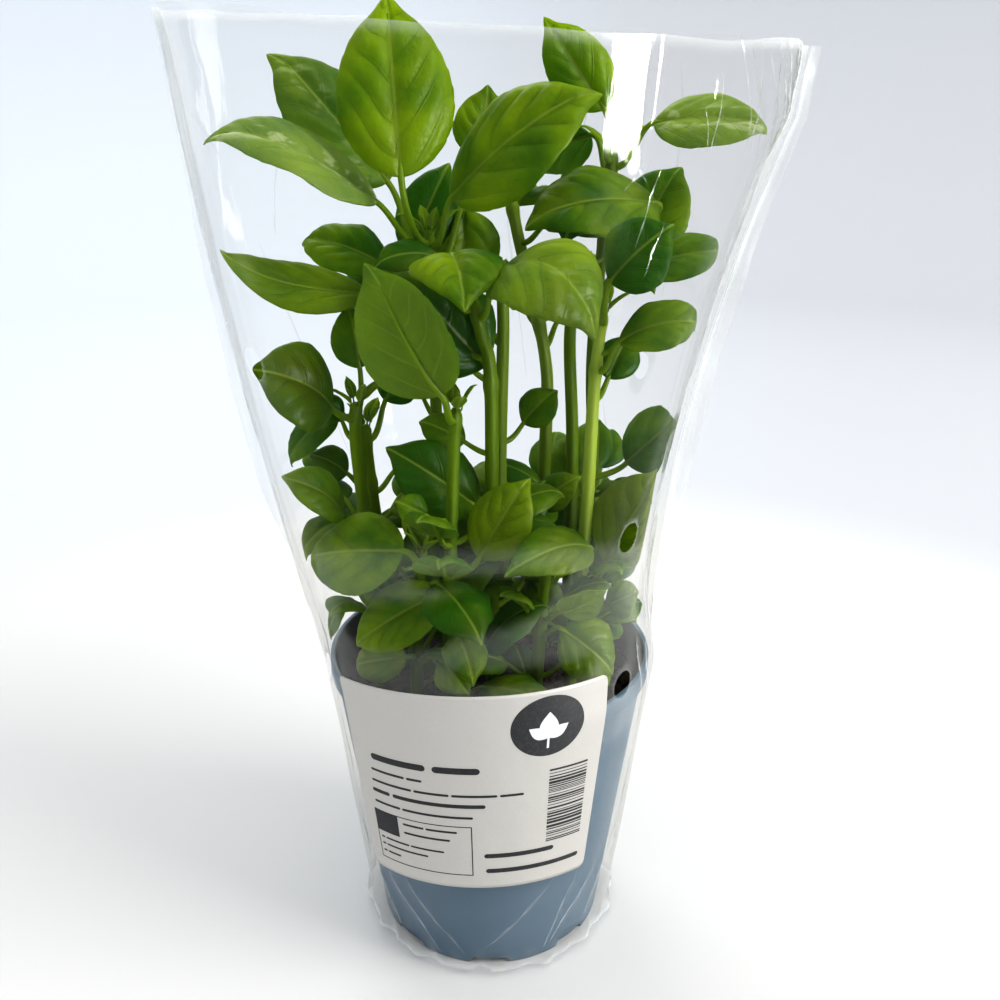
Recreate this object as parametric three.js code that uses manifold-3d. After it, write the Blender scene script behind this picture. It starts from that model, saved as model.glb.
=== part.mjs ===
// Potted basil plant in a clear film sleeve: a plastic pot, its soil, the stems and leaves that
// grow from it, the film sleeve that stands round them and the paper label stuck on the film.
// Millimetres, +Z up. The origin is on the pot's axis, on the face that the pot stands on, and
// the label faces -Y.
import * as THREE from "three";
import { mergeVertices } from "three/addons/utils/BufferGeometryUtils.js";
import Module from "manifold-3d";

const wasm = await Module();
wasm.setup();

const GAP = 0.4; // clearance kept between two pieces that touch

const POT = {
  rimRadius: 60,
  footRadius: 44,
  height: 115,
  wall: 1.2,
  rimProud: 0.9,
  rimHeight: 7,
  rimRound: 0.7,
  floorUnderside: 3.2,
  floorThickness: 1.6,
  footWidth: 3.2,
  notches: 8,
  notchWidth: 14,
  notchHeight: 2.6,
  drains: 6,
  drainRadius: 4,
  drainCircle: 28,
  drainSides: 12,
  sides: 36,
};

const SOIL = { top: 100, dome: 3, shoulder: 0.6, sides: 32 };

const STEM = { radius: 2.5, sides: 8, stepsPerSpan: 2 };

const STALK = { halfWidth: 1, halfThickness: 0.9, steps: 2 };

const BLADE = { halfThickness: 0.35, tipHalfWidth: 0.6, cup: 0.34 };
const LARGE_BLADE = { fromWidth: 20, steps: 6, across: 4 };
const SMALL_BLADE = { steps: 4, across: 2 };

const SLEEVE = {
  bottom: 2,
  top: 322,
  cornerRise: 6,
  footRadius: 47.6,
  rimRadius: 61,
  mouthHalfWidth: 96,
  mouthHalfDepth: 84,
  bulge: 3.5,
  wall: 0.5,
  sides: 44,
  rows: 7,
};

// The welded seam at each side. Below foldFrom it lies back on the film, above foldTo it stands out.
const FIN = { width: 5, rows: 10, bottom: 10, topDrop: 0.2, foldFrom: 120, foldTo: 190, foldTurn: 78 };

const AIR_HOLE = { radius: 5, depth: 16, sides: 12 };

// Where the air holes are punched: degrees round the sleeve from the front, and height.
const AIR_HOLES = [
  [-58, 233],
  [41, 180],
  [48, 121],
  [121, 214],
  [-84, 108],
  [-150, 150],
];

const LABEL = {
  width: 96,
  height: 85,
  corner: 3,
  turn: -7.5,
  middle: 87.5,
  tilt: 0.075,
  droop: 4,
  wall: 0.4,
  columns: 10,
  rows: 3,
};

// The planting, chosen by hand. Each stem is a list of points from the soil up, in mm. Each leaf
// is: height of its node on the stem, base of the blade, tip of the blade, width, the way its
// upper side faces, the rise of the midrib in its first and last third, and the fold in degrees.
const PLANTING = {
  tall_left: {
    stem: [[-16, 10, 92], [-17, 11, 140], [-19, 12, 197], [-20, 9, 266]],
    leaves: [
      [262, [-27, -9, 284], [-30, -5, 337], 37, [0.05, -1, 0.15], [2, 3], 10],
      [260, [-36, 0, 276], [-87, -16, 298], 29, [-0.1, -0.5, 0.85], [6, 11], 22],
      [258, [-34, 18, 281], [-70, 15, 323], 33, [0.35, -0.9, 0.4], [2, 2], 16],
      [261, [-12, 2, 277], [34, -12, 311], 35, [-0.25, -0.8, 0.6], [7, 7], 14],
      [238, [-40, 1, 243], [-84, -18, 264], 25, [-0.15, -0.6, 0.8], [-4, -12], 20],
      [240, [-36, 14, 254], [-67, 24, 262], 24, [-0.1, -0.6, 0.8], [5, 4], 20],
      [244, [-16, -4, 259], [-37, -10, 257], 18, [0, -0.5, 0.86], [4, 4], 18],
      [252, [-9, 19, 272], [-8, 15, 244], 26, [0, -1, 0.1], [-3, -2], 14],
    ],
  },
  middle: {
    stem: [[2, -14, 92], [1, -17, 140], [1, -18, 218], [-2, -18, 236], [-5, -18, 248]],
    leaves: [
      [244, [-11, -21, 262], [-6, -50, 250], 30, [0, -0.45, 0.9], [5, 8], 18],
      [242, [2, -24, 252], [32, -44, 238], 38, [0.25, -0.65, 0.8], [22, 20], 12],
      [220, [-1, -14, 225], [-29, -18, 257], 34, [0.3, -0.9, 0.3], [3, 3], 14],
      [172, [-4, -18, 177], [-34, -22, 200], 26, [0.2, -0.85, 0.5], [5, 4], 16],
    ],
  },
  middle_tall: {
    stem: [[8, -2, 92], [6, -3, 140], [4, -4, 183], [5, -6, 237], [4, -7, 252]],
    leaves: [[170, [18, -4, 172], [32, -6, 184], 15, [-0.2, -0.7, 0.7], [3, 2], 18]],
  },
  front: {
    stem: [[-14, -30, 92], [-13, -32, 152], [-12, -32, 178], [-10, -32, 216]],
    leaves: [
      [212, [-14, -39, 222], [-34, -37, 262], 36, [0.3, 0.85, 0.4], [-4, -3], 14],
      [158, [-3, -34, 165], [13, -36, 194], 22, [-0.25, -0.9, 0.3], [3, 3], 14],
      [148, [-15, -42, 156], [-46, -38, 134], 23, [-0.1, -0.75, 0.65], [6, 5], 16],
      [146, [-1, -40, 153], [-11, -50, 149], 17, [0, -0.6, 0.8], [3, 5], 16],
    ],
  },
  left: {
    stem: [[-40, -8, 92], [-43, -7, 136], [-45, -4, 172], [-47, -1, 196], [-46, 0, 209]],
    leaves: [
      [204, [-53, -10, 210], [-76, -28, 228], 32, [-0.3, -0.7, 0.65], [9, 8], 18],
      [206, [-45, 5, 220], [-48, 4, 243], 17, [0.3, -0.9, 0.3], [2, 2], 14],
      [168, [-51, -12, 172], [-70, -26, 191], 19, [-0.3, -0.6, 0.75], [7, 7], 22],
      [130, [-53, -7, 136], [-60, -8, 120], 12, [-0.8, -0.4, 0.4], [2, 2], 16],
    ],
  },
  left_twin: {
    stem: [[-36, 8, 92], [-40, 9, 140], [-43, 9, 170], [-45, 10, 198]],
    leaves: [
      [196, [-55, 11, 202], [-73, 4, 184], 18, [-0.3, -0.5, 0.8], [4, 5], 20],
      [192, [-38, 17, 205], [-26, 22, 220], 21, [-0.3, -0.8, 0.5], [3, 3], 18],
      [176, [-52, 8, 180], [-65, 6, 188], 16, [-0.2, -0.6, 0.8], [3, 3], 18],
    ],
  },
  back: {
    stem: [[16, 24, 92], [19, 22, 140], [21, 20, 194], [20, 20, 222], [10, 19, 264], [6, 20, 284]],
    leaves: [
      [280, [-3, 27, 288], [0, 27, 312], 22, [0.2, -0.95, 0.2], [2, 2], 14],
      [272, [10, 36, 272], [22, 66, 274], 24, [0, -0.2, 1], [5, 5], 18],
      [232, [12, 34, 240], [2, 66, 244], 26, [0, 0.3, 0.95], [6, 6], 18],
    ],
  },
  right_back: {
    stem: [[30, 4, 92], [30, 7, 140], [30, 7, 191], [28, 5, 231], [30, 2, 252]],
    leaves: [
      [248, [46, -4, 254], [81, -12, 262], 21, [0.1, -0.6, 0.8], [4, 4], 20],
      [178, [50, 8, 184], [72, 2, 206], 24, [-0.2, -0.8, 0.6], [4, 3], 18],
    ],
  },
  right: {
    stem: [[29, -14, 92], [32, -15, 140], [34, -15, 176], [35, -15, 217], [37, -14, 244]],
    leaves: [
      [240, [38, -24, 254], [56, -28, 272], 25, [-0.3, -0.8, 0.5], [4, 3], 16],
      [224, [42, -22, 235], [73, -24, 240], 20, [0.1, -0.65, 0.75], [9, 8], 20],
      [150, [42, -17, 157], [61, -20, 192], 31, [-0.35, -0.85, 0.4], [4, 4], 14],
      [134, [42, -18, 139], [55, -20, 146], 15, [0, -0.7, 0.7], [3, 2], 18],
    ],
  },
  tall_right: {
    stem: [[42, 12, 92], [40, 12, 140], [38, 13, 190], [37, 15, 228], [42, 18, 292]],
    leaves: [
      [288, [38, 13, 304], [18, 7, 330], 21, [-0.4, -0.8, 0.3], [-2, -2], 14],
      [284, [35, 30, 296], [8, 38, 285], 33, [0, 0.6, 0.8], [4, 4], 16],
      [286, [54, 11, 300], [89, -5, 299], 21, [0.1, -0.85, 0.5], [5, 4], 14],
      [264, [56, 7, 275], [11, -12, 270], 36, [0.1, -0.6, 0.8], [6, 9], 18],
      [246, [50, 22, 257], [66, 24, 287], 28, [-0.2, -0.85, 0.5], [3, 3], 16],
    ],
  },
  low_left: {
    stem: [[-26, -24, 92], [-25, -30, 140], [-22, -33, 168]],
    leaves: [
      [164, [-27, -42, 171], [-64, -24, 160], 30, [-0.1, -0.7, 0.7], [5, 5], 14],
      [126, [-28, -38, 130], [-48, -30, 122], 16, [-0.1, -0.8, 0.6], [3, 3], 16],
      [124, [-16, -42, 131], [-6, -50, 122], 14, [0.1, -0.8, 0.6], [3, 3], 16],
    ],
  },
  low_right: {
    stem: [[16, -24, 92], [18, -28, 140], [20, -29, 160]],
    leaves: [
      [156, [34, -32, 168], [5, -54, 168], 20, [0.15, -0.5, 0.85], [9, 8], 16],
      [140, [24, -38, 147], [38, -42, 158], 15, [0.3, 0.7, 0.6], [-2, -2], 14],
      [134, [25, -35, 139], [43, -38, 123], 24, [0.2, -0.75, 0.65], [5, 4], 16],
    ],
  },
};

const LEAF_GREEN = "#4f8a2b";
const STEM_GREEN = "#8fb45a";

function material(color, roughness, opacity = 1) {
  return new THREE.MeshStandardMaterial({
    color, roughness, metalness: 0, opacity, transparent: opacity < 1, side: THREE.DoubleSide,
  });
}

function named(name, geometry, finish) {
  const mesh = new THREE.Mesh(geometry, finish);
  mesh.name = name;
  return mesh;
}

// A geometry whose shared corners are one vertex, so that it can be bent without tearing.
function welded(geometry) {
  geometry.deleteAttribute("normal");
  geometry.deleteAttribute("uv");
  return mergeVertices(geometry, 1e-4);
}

function solid(geometry) {
  const closed = welded(geometry.clone());
  return new wasm.Manifold(
    new wasm.Mesh({
      numProp: 3,
      vertProperties: new Float32Array(closed.attributes.position.array),
      triVerts: new Uint32Array(closed.index.array),
    }),
  );
}

function geometryOf(manifold) {
  const mesh = manifold.getMesh();
  const geometry = new THREE.BufferGeometry();
  geometry.setAttribute("position", new THREE.BufferAttribute(mesh.vertProperties, 3));
  geometry.setIndex(new THREE.BufferAttribute(mesh.triVerts, 1));
  geometry.computeVertexNormals();
  return geometry;
}

// Moves every vertex of a welded blank to the point that place(vertex) returns.
function bend(blank, place) {
  const geometry = welded(blank);
  const position = geometry.attributes.position;
  const vertex = new THREE.Vector3();
  for (let i = 0; i < position.count; i++) {
    const { x, y, z } = place(vertex.fromBufferAttribute(position, i));
    position.setXYZ(i, x, y, z);
  }
  geometry.computeVertexNormals();
  return geometry;
}

// A closed lathe about Z from [radius, height] pairs that run round the section and back.
function turned(outline, sides) {
  const points = outline.map(([radius, height]) => new THREE.Vector2(radius, height));
  return new THREE.LatheGeometry(points, sides).rotateX(Math.PI / 2);
}

function potWall(height) {
  return POT.footRadius + ((POT.rimRadius - POT.rimProud - POT.footRadius) * height) / POT.height;
}

function makePot() {
  const { wall, height, rimRadius, rimHeight, rimRound, floorUnderside, footWidth } = POT;
  const floorTop = floorUnderside + POT.floorThickness;
  const foot = POT.footRadius;
  const outline = [
    [0, floorUnderside],
    [foot - footWidth, floorUnderside],
    [foot - footWidth, 0],
    [foot, 0],
    [potWall(height - rimHeight), height - rimHeight],
    [rimRadius, height - rimHeight + rimRound],
    [rimRadius, height - rimRound],
    [rimRadius - rimRound, height],
    [potWall(height) - wall + rimRound, height],
    [potWall(height) - wall, height - rimRound],
    [potWall(floorTop) - wall, floorTop],
    [0, floorTop],
  ];
  let pot = solid(turned(outline, POT.sides));
  for (let i = 0; i < POT.notches; i++) {
    const notch = new THREE.BoxGeometry(POT.notchWidth, 3 * footWidth, 2 * POT.notchHeight);
    notch.translate(0, -foot, 0).rotateZ((i * 2 * Math.PI) / POT.notches);
    pot = pot.subtract(solid(notch));
  }
  for (let i = 0; i < POT.drains; i++) {
    const depth = 4 * floorUnderside;
    const drain = new THREE.CylinderGeometry(POT.drainRadius, POT.drainRadius, depth, POT.drainSides);
    drain.rotateX(Math.PI / 2).translate(POT.drainCircle, 0, floorUnderside);
    pot = pot.subtract(solid(drain.rotateZ((i * 2 * Math.PI) / POT.drains)));
  }
  return named("pot", geometryOf(pot), material("#556c82", 0.45));
}

function makeSoil() {
  const floor = POT.floorUnderside + POT.floorThickness + GAP;
  const inner = (height) => potWall(height) - POT.wall - GAP;
  const edge = inner(SOIL.top);
  const outline = [
    [0, floor],
    [inner(floor), floor],
    [edge, SOIL.top],
    [SOIL.shoulder * edge, SOIL.top + SOIL.shoulder * SOIL.dome],
    [0, SOIL.top + SOIL.dome],
  ];
  let soil = solid(turned(outline, SOIL.sides));
  for (const { stem } of Object.values(PLANTING)) {
    const socket = tube(stemCurve(stem), STEM.radius + GAP, stem.length);
    socket.translate(0, 0, -GAP);
    soil = soil.subtract(solid(socket));
  }
  return named("soil", geometryOf(soil), material("#2b1d14", 0.95));
}

function stemCurve(points) {
  return new THREE.CatmullRomCurve3(points.map((point) => new THREE.Vector3(...point)));
}

function tube(curve, radius, pointCount) {
  const section = new THREE.Shape(
    Array.from({ length: STEM.sides }, (_, i) => {
      const angle = (i * 2 * Math.PI) / STEM.sides;
      return new THREE.Vector2(radius * Math.cos(angle), radius * Math.sin(angle));
    }),
  );
  const steps = STEM.stepsPerSpan * (pointCount - 1);
  return new THREE.ExtrudeGeometry(section, { steps, extrudePath: curve, bevelEnabled: false });
}

// The point of a rising curve at a given height, by halving the stretch that holds it.
function pointAtHeight(curve, height) {
  let low = 0;
  let high = 1;
  for (let i = 0; i < 24; i++) {
    const middle = (low + high) / 2;
    if (curve.getPoint(middle).z < height) low = middle;
    else high = middle;
  }
  return curve.getPoint(low);
}

// The half width of a basil blade at u from base to tip, as a share of its greatest half width.
function bladeOutline(u) {
  const rise = 0.6;
  const fall = 0.85;
  const widest = rise / (rise + fall);
  const greatest = widest ** rise * (1 - widest) ** fall;
  return (u ** rise * (1 - u) ** fall) / greatest;
}

// A leaf: its stalk runs from the stem to the blade's base, and the blade arches to its tip.
function leafGeometry(curve, [node, base, tip, width, face, rise, fold]) {
  const from = new THREE.Vector3(...base);
  const to = new THREE.Vector3(...tip);
  const along = to.clone().sub(from);
  const axis = along.clone().normalize();
  const side = new THREE.Vector3(...face).cross(axis).normalize();
  const upper = axis.clone().cross(side);
  const third = (share, lift) => from.clone().addScaledVector(along, share).addScaledVector(upper, lift);
  const midrib = new THREE.CubicBezierCurve3(from, third(1 / 3, rise[0]), third(2 / 3, rise[1]), to);
  const centre = pointAtHeight(curve, node);
  const outward = from.clone().sub(centre).setZ(0).normalize();
  const root = centre.addScaledVector(outward, STEM.radius + GAP);
  const reach = from.distanceTo(root) / 3;
  const leaving = root.clone().addScaledVector(outward, reach);
  const arriving = from.clone().addScaledVector(midrib.getTangent(0), -reach);
  const stalk = new THREE.CubicBezierCurve3(root, leaving, arriving, from);

  const blade = width < LARGE_BLADE.fromWidth ? SMALL_BLADE : LARGE_BLADE;
  const columns = STALK.steps + blade.steps;
  const blank = new THREE.BoxGeometry(1, 2, 2, columns, blade.across, 1);
  const slope = THREE.MathUtils.degToRad(fold);
  return bend(blank, ({ x, y, z }) => {
    const column = (x + 0.5) * columns;
    const onStalk = column < STALK.steps + 0.5;
    const u = (column - STALK.steps) / blade.steps;
    const spine = onStalk ? stalk : midrib;
    const t = onStalk ? column / STALK.steps : u;
    const half = onStalk
      ? STALK.halfWidth
      : Math.max(BLADE.tipHalfWidth, (width / 2) * bladeOutline(u));
    const tangent = spine.getTangent(t);
    const across = side.clone().addScaledVector(tangent, -side.dot(tangent)).normalize();
    const normal = tangent.clone().cross(across);
    const crease = onStalk ? 0 : half * (Math.abs(y) * Math.sin(slope) - BLADE.cup * y * y);
    const thickness = onStalk ? STALK.halfThickness : BLADE.halfThickness;
    return spine
      .getPoint(t)
      .addScaledVector(across, half * y * (onStalk ? 1 : Math.cos(slope)))
      .addScaledVector(normal, crease + z * thickness);
  });
}

function makePlant() {
  const plant = new THREE.Group();
  const leafFinish = material(LEAF_GREEN, 0.4);
  const stemFinish = material(STEM_GREEN, 0.5);
  for (const [place, { stem, leaves }] of Object.entries(PLANTING)) {
    const curve = stemCurve(stem);
    const stalk = tube(curve, STEM.radius, stem.length);
    plant.add(named(`stem_${place}`, stalk, stemFinish.clone()));
    leaves.forEach((leaf, i) => {
      plant.add(named(`leaf_${place}_${i + 1}`, leafGeometry(curve, leaf), leafFinish.clone()));
    });
  }
  return plant;
}

// The film's inner face, in mm from the axis: a cone round the pot that opens into an oval mouth.
function filmRadius(angle, height) {
  const { bottom, top, footRadius, rimRadius, bulge } = SLEEVE;
  if (height < POT.height) {
    return footRadius + ((rimRadius - footRadius) * (height - bottom)) / (POT.height - bottom);
  }
  const s = (height - POT.height) / (top - POT.height);
  const halfWidth = rimRadius + (SLEEVE.mouthHalfWidth - rimRadius) * s + bulge * Math.sin(Math.PI * s);
  const halfDepth = rimRadius + (SLEEVE.mouthHalfDepth - rimRadius) * s;
  return (halfWidth * halfDepth) / Math.hypot(halfDepth * Math.sin(angle), halfWidth * Math.cos(angle));
}

// A point that is out mm outside the film's inner face. The angle is 0 at the front.
function onFilm(angle, height, out) {
  const radius = filmRadius(angle, height) + out;
  return new THREE.Vector3(radius * Math.sin(angle), -radius * Math.cos(angle), height);
}

// The film's edge is straight when it is flat, so it rises towards the two side seams.
function mouthRise(angle, height) {
  const share = (height - POT.height) / (SLEEVE.top - POT.height);
  return SLEEVE.cornerRise * Math.max(0, share) * Math.sin(angle) ** 2;
}

function makeFilmWall() {
  const { bottom, top, wall, rows } = SLEEVE;
  const heights = [bottom, (bottom + POT.height) / 2];
  for (let i = 0; i <= rows; i++) heights.push(POT.height + ((top - POT.height) * i) / rows);
  const guide = SLEEVE.rimRadius;
  const outline = [
    ...heights.map((height) => [guide + wall, height]),
    ...heights.toReversed().map((height) => [guide, height]),
    [guide + wall, bottom],
  ];
  return bend(turned(outline, SLEEVE.sides), ({ x, y, z }) => {
    const angle = Math.atan2(x, -y);
    const point = onFilm(angle, z, Math.hypot(x, y) - guide);
    return point.setZ(z + mouthRise(angle, z));
  });
}

// The seam at one side, on the left or right as sign says. Its root is sunk in the film's wall.
function makeFin(sign) {
  const { wall, top } = SLEEVE;
  const side = (sign * Math.PI) / 2;
  const blank = new THREE.BoxGeometry(1, 1, 1, 1, FIN.rows, 1);
  return bend(blank, ({ x, y, z }) => {
    const height = THREE.MathUtils.lerp(FIN.bottom, top - FIN.topDrop, y + 0.5);
    const open = THREE.MathUtils.smoothstep(height, FIN.foldFrom, FIN.foldTo);
    const turn = THREE.MathUtils.degToRad(FIN.foldTurn) * (1 - open);
    const reach = (x + 0.5) * FIN.width;
    const point = onFilm(side, height, wall / 2 + reach * Math.cos(turn));
    point.x += z * wall * Math.sin(turn);
    point.y += reach * Math.sin(turn) - z * wall * Math.cos(turn) * sign;
    return point.setZ(height + mouthRise(side, height));
  });
}

function makeSleeve() {
  let film = solid(makeFilmWall());
  for (const sign of [-1, 1]) film = film.add(solid(makeFin(sign)));
  for (const [degrees, height] of AIR_HOLES) {
    const angle = THREE.MathUtils.degToRad(degrees);
    const { radius, depth, sides } = AIR_HOLE;
    const centre = onFilm(angle, height, 0);
    const punch = new THREE.CylinderGeometry(radius, radius, depth, sides);
    punch.rotateZ(angle).translate(centre.x, centre.y, centre.z);
    film = film.subtract(solid(punch));
  }
  return named("sleeve", geometryOf(film), material("#e8eef0", 0.15, 0.3));
}

// The label's columns from its left edge to its right, closer together where its corners round.
function labelColumns() {
  const half = LABEL.width / 2;
  const inner = half - LABEL.corner;
  const nearEdge = half - LABEL.corner / 3;
  const columns = [-half, -nearEdge];
  for (let i = 0; i <= LABEL.columns; i++) columns.push(-inner + (2 * inner * i) / LABEL.columns);
  return [...columns, nearEdge, half];
}

function makeLabel() {
  const columns = labelColumns();
  const { width, height, corner, wall, tilt, droop, middle } = LABEL;
  const turn = THREE.MathUtils.degToRad(LABEL.turn);
  const blank = new THREE.BoxGeometry(1, 1, 1, columns.length - 1, LABEL.rows, 1);
  const geometry = bend(blank, ({ x, y, z }) => {
    const across = columns[Math.round((x + 0.5) * (columns.length - 1))];
    const inCorner = Math.max(0, Math.abs(across) - (width / 2 - corner));
    const trim = corner - Math.sqrt(corner ** 2 - inCorner ** 2);
    const edge = 1 - (2 * trim) / height;
    const level = middle + y * height * edge + tilt * across - droop * (across / (width / 2)) ** 2;
    const angle = turn + across / (filmRadius(turn, middle) + SLEEVE.wall);
    return onFilm(angle, level, SLEEVE.wall + GAP + (z + 0.5) * wall);
  });
  return named("label", geometry, material("#f2f2ef", 0.6));
}

const basil = new THREE.Group();
basil.name = "potted_basil";
basil.add(makePot(), makeSoil(), makePlant(), makeSleeve(), makeLabel());

export default basil;
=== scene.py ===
"""Potted basil in a clear film sleeve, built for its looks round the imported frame.

Lengths are in millimetres while a shape is worked out, and become metres when its mesh is made.
The frame is the part's own: +Z up, the origin under the pot's axis, and the label facing -Y.
"""
import logging
import math
from dataclasses import dataclass, field
from enum import Enum
from typing import Callable, Union

import bmesh
import bpy
import numpy as np
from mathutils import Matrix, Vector


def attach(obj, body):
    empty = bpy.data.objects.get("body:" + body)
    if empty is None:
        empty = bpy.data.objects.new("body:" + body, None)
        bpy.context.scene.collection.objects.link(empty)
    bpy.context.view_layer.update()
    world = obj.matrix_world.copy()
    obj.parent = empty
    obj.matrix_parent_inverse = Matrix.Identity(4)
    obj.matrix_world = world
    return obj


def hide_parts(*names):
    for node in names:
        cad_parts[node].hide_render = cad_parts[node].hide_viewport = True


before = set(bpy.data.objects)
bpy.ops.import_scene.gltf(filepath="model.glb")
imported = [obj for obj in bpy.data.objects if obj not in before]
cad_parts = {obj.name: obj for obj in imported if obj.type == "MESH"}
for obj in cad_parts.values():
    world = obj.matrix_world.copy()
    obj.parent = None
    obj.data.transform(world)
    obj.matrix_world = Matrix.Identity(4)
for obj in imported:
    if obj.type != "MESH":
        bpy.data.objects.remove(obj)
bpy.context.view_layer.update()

LOG = logging.getLogger("basil")
MM = 0.001
CRISP = 55.0
BODY = "root"
Point = tuple[float, float, float]
Colour = tuple[float, float, float, float]
Array = np.ndarray
Face = tuple[int, ...]
Pair = tuple[float, float]
Thing = bpy.types.Object
Finish = bpy.types.Material
Dice = np.random.Generator
Room = Callable[[Array], Array]


# ---- Shader maths ----


class Wire:
    """One output socket, so that shader maths on values reads as arithmetic."""

    def __init__(self, bench: "Bench", socket: bpy.types.NodeSocket) -> None:
        """Keeps the socket and the bench that its new nodes are added to."""
        self.bench = bench
        self.socket = socket

    def _joined(self, operation: str, left: "Value", right: "Value") -> "Wire":
        """One Math node on two values."""
        return self.bench.wire("ShaderNodeMath", {"operation": operation}, {0: left, 1: right})

    def __add__(self, other: "Value") -> "Wire":
        """self + other."""
        return self._joined("ADD", self, other)

    __radd__ = __add__

    def __sub__(self, other: "Value") -> "Wire":
        """self - other."""
        return self._joined("SUBTRACT", self, other)

    def __rsub__(self, other: "Value") -> "Wire":
        """other - self."""
        return self._joined("SUBTRACT", other, self)

    def __mul__(self, other: "Value") -> "Wire":
        """self * other."""
        return self._joined("MULTIPLY", self, other)

    __rmul__ = __mul__

    def __pow__(self, other: "Value") -> "Wire":
        """self to the power of other."""
        return self._joined("POWER", self, other)

    def __abs__(self) -> "Wire":
        """The size of self, without its sign."""
        return self._joined("ABSOLUTE", self, 0.0)

    def fraction(self) -> "Wire":
        """What is left of self over the whole number below it."""
        return self._joined("FRACT", self, 0.0)

    def rise(self, low: float, high: float) -> "Wire":
        """A smooth step of self.

        Args:
            low: The value where the step is 0.
            high: The value where the step is 1. Below low, the step falls instead.

        Returns:
            A value from 0 to 1.
        """
        settings = {"interpolation_type": "SMOOTHSTEP"}
        if low < high:
            return self.bench.wire("ShaderNodeMapRange", settings, {0: self, 1: low, 2: high})
        return 1.0 - self.bench.wire("ShaderNodeMapRange", settings, {0: self, 1: high, 2: low})


Value = Union[Wire, float]


class Bench:
    """The node tree of one material, or of the world."""

    def __init__(self, name: str, world: bool = False) -> None:
        """Makes an empty material, or world, of that name.

        Args:
            name: What it is called.
            world: Whether it is a world.
        """
        self.holder = (bpy.data.worlds if world else bpy.data.materials).new(name)
        self.holder.use_nodes = True
        self.tree = self.holder.node_tree
        self.tree.nodes.clear()

    def node(self, kind: str, settings: dict, inputs: dict) -> bpy.types.Node:
        """Adds a node.

        Args:
            kind: The node's type.
            settings: Its properties, which are set first.
            inputs: A value, a Wire or a socket for each input, by name or place.

        Returns:
            The new node.
        """
        node = self.tree.nodes.new(kind)
        for key, value in settings.items():
            setattr(node, key, value)
        for key, value in inputs.items():
            socket = value.socket if isinstance(value, Wire) else value
            if isinstance(socket, bpy.types.NodeSocket):
                self.tree.links.new(socket, node.inputs[key])
            else:
                node.inputs[key].default_value = socket
        return node

    def wire(self, kind: str, settings: dict, inputs: dict, output: Union[int, str] = 0) -> Wire:
        """Adds a node and returns one of its outputs."""
        return Wire(self, self.node(kind, settings, inputs).outputs[output])

    def mixed(self, factor: Value, first: Union[Wire, Colour], second: Union[Wire, Colour]) -> Wire:
        """The first colour at factor 0 and the second at 1."""
        settings = {"data_type": "RGBA", "clamp_factor": True}
        return self.wire("ShaderNodeMix", settings, {0: factor, 6: first, 7: second}, 2)

    def attribute(self, name: str) -> Wire:
        """A number that the mesh holds at each of its points."""
        return self.wire("ShaderNodeAttribute", {"attribute_name": name}, {}, "Fac")

    def noise(self, scale: float, detail: float = 3.0, stretch: Point = (1, 1, 1)) -> Wire:
        """Soft noise about 0.5.

        Args:
            scale: Features a metre.
            detail: How many finer layers it has.
            stretch: The scale's factor along each axis.

        Returns:
            The noise.
        """
        place = self.wire("ShaderNodeTexCoord", {}, {}, "Object")
        spread = self.wire("ShaderNodeMapping", {}, {0: place, "Scale": stretch})
        inputs = {"Vector": spread, "Scale": scale, "Detail": detail}
        return self.wire("ShaderNodeTexNoise", {}, inputs)

    def cells(self, scale: float) -> Wire:
        """Distance to the nearest edge between random cells.

        Args:
            scale: Cells a metre.

        Returns:
            The distance, in cells.
        """
        place = self.wire("ShaderNodeTexCoord", {}, {}, "Object")
        settings = {"feature": "DISTANCE_TO_EDGE"}
        return self.wire("ShaderNodeTexVoronoi", settings, {"Vector": place, "Scale": scale})

    def bump(self, height: Wire, depth: float, strength: float = 1.0) -> Wire:
        """A bumped normal, with depth in metres."""
        inputs = {"Height": height, "Distance": depth, "Strength": strength}
        return self.wire("ShaderNodeBump", {}, inputs)

    def principled(self, inputs: dict) -> Wire:
        """A Principled shader."""
        return self.wire("ShaderNodeBsdfPrincipled", {}, inputs)

    def shown(self, surface: Wire) -> Finish:
        """Sends the surface to the output and returns the material."""
        self.node("ShaderNodeOutputMaterial", {}, {"Surface": surface})
        return self.holder

    def plain(self, inputs: dict) -> Finish:
        """The material of one Principled shader."""
        return self.shown(self.principled(inputs))


# ---- Meshes ----


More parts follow.
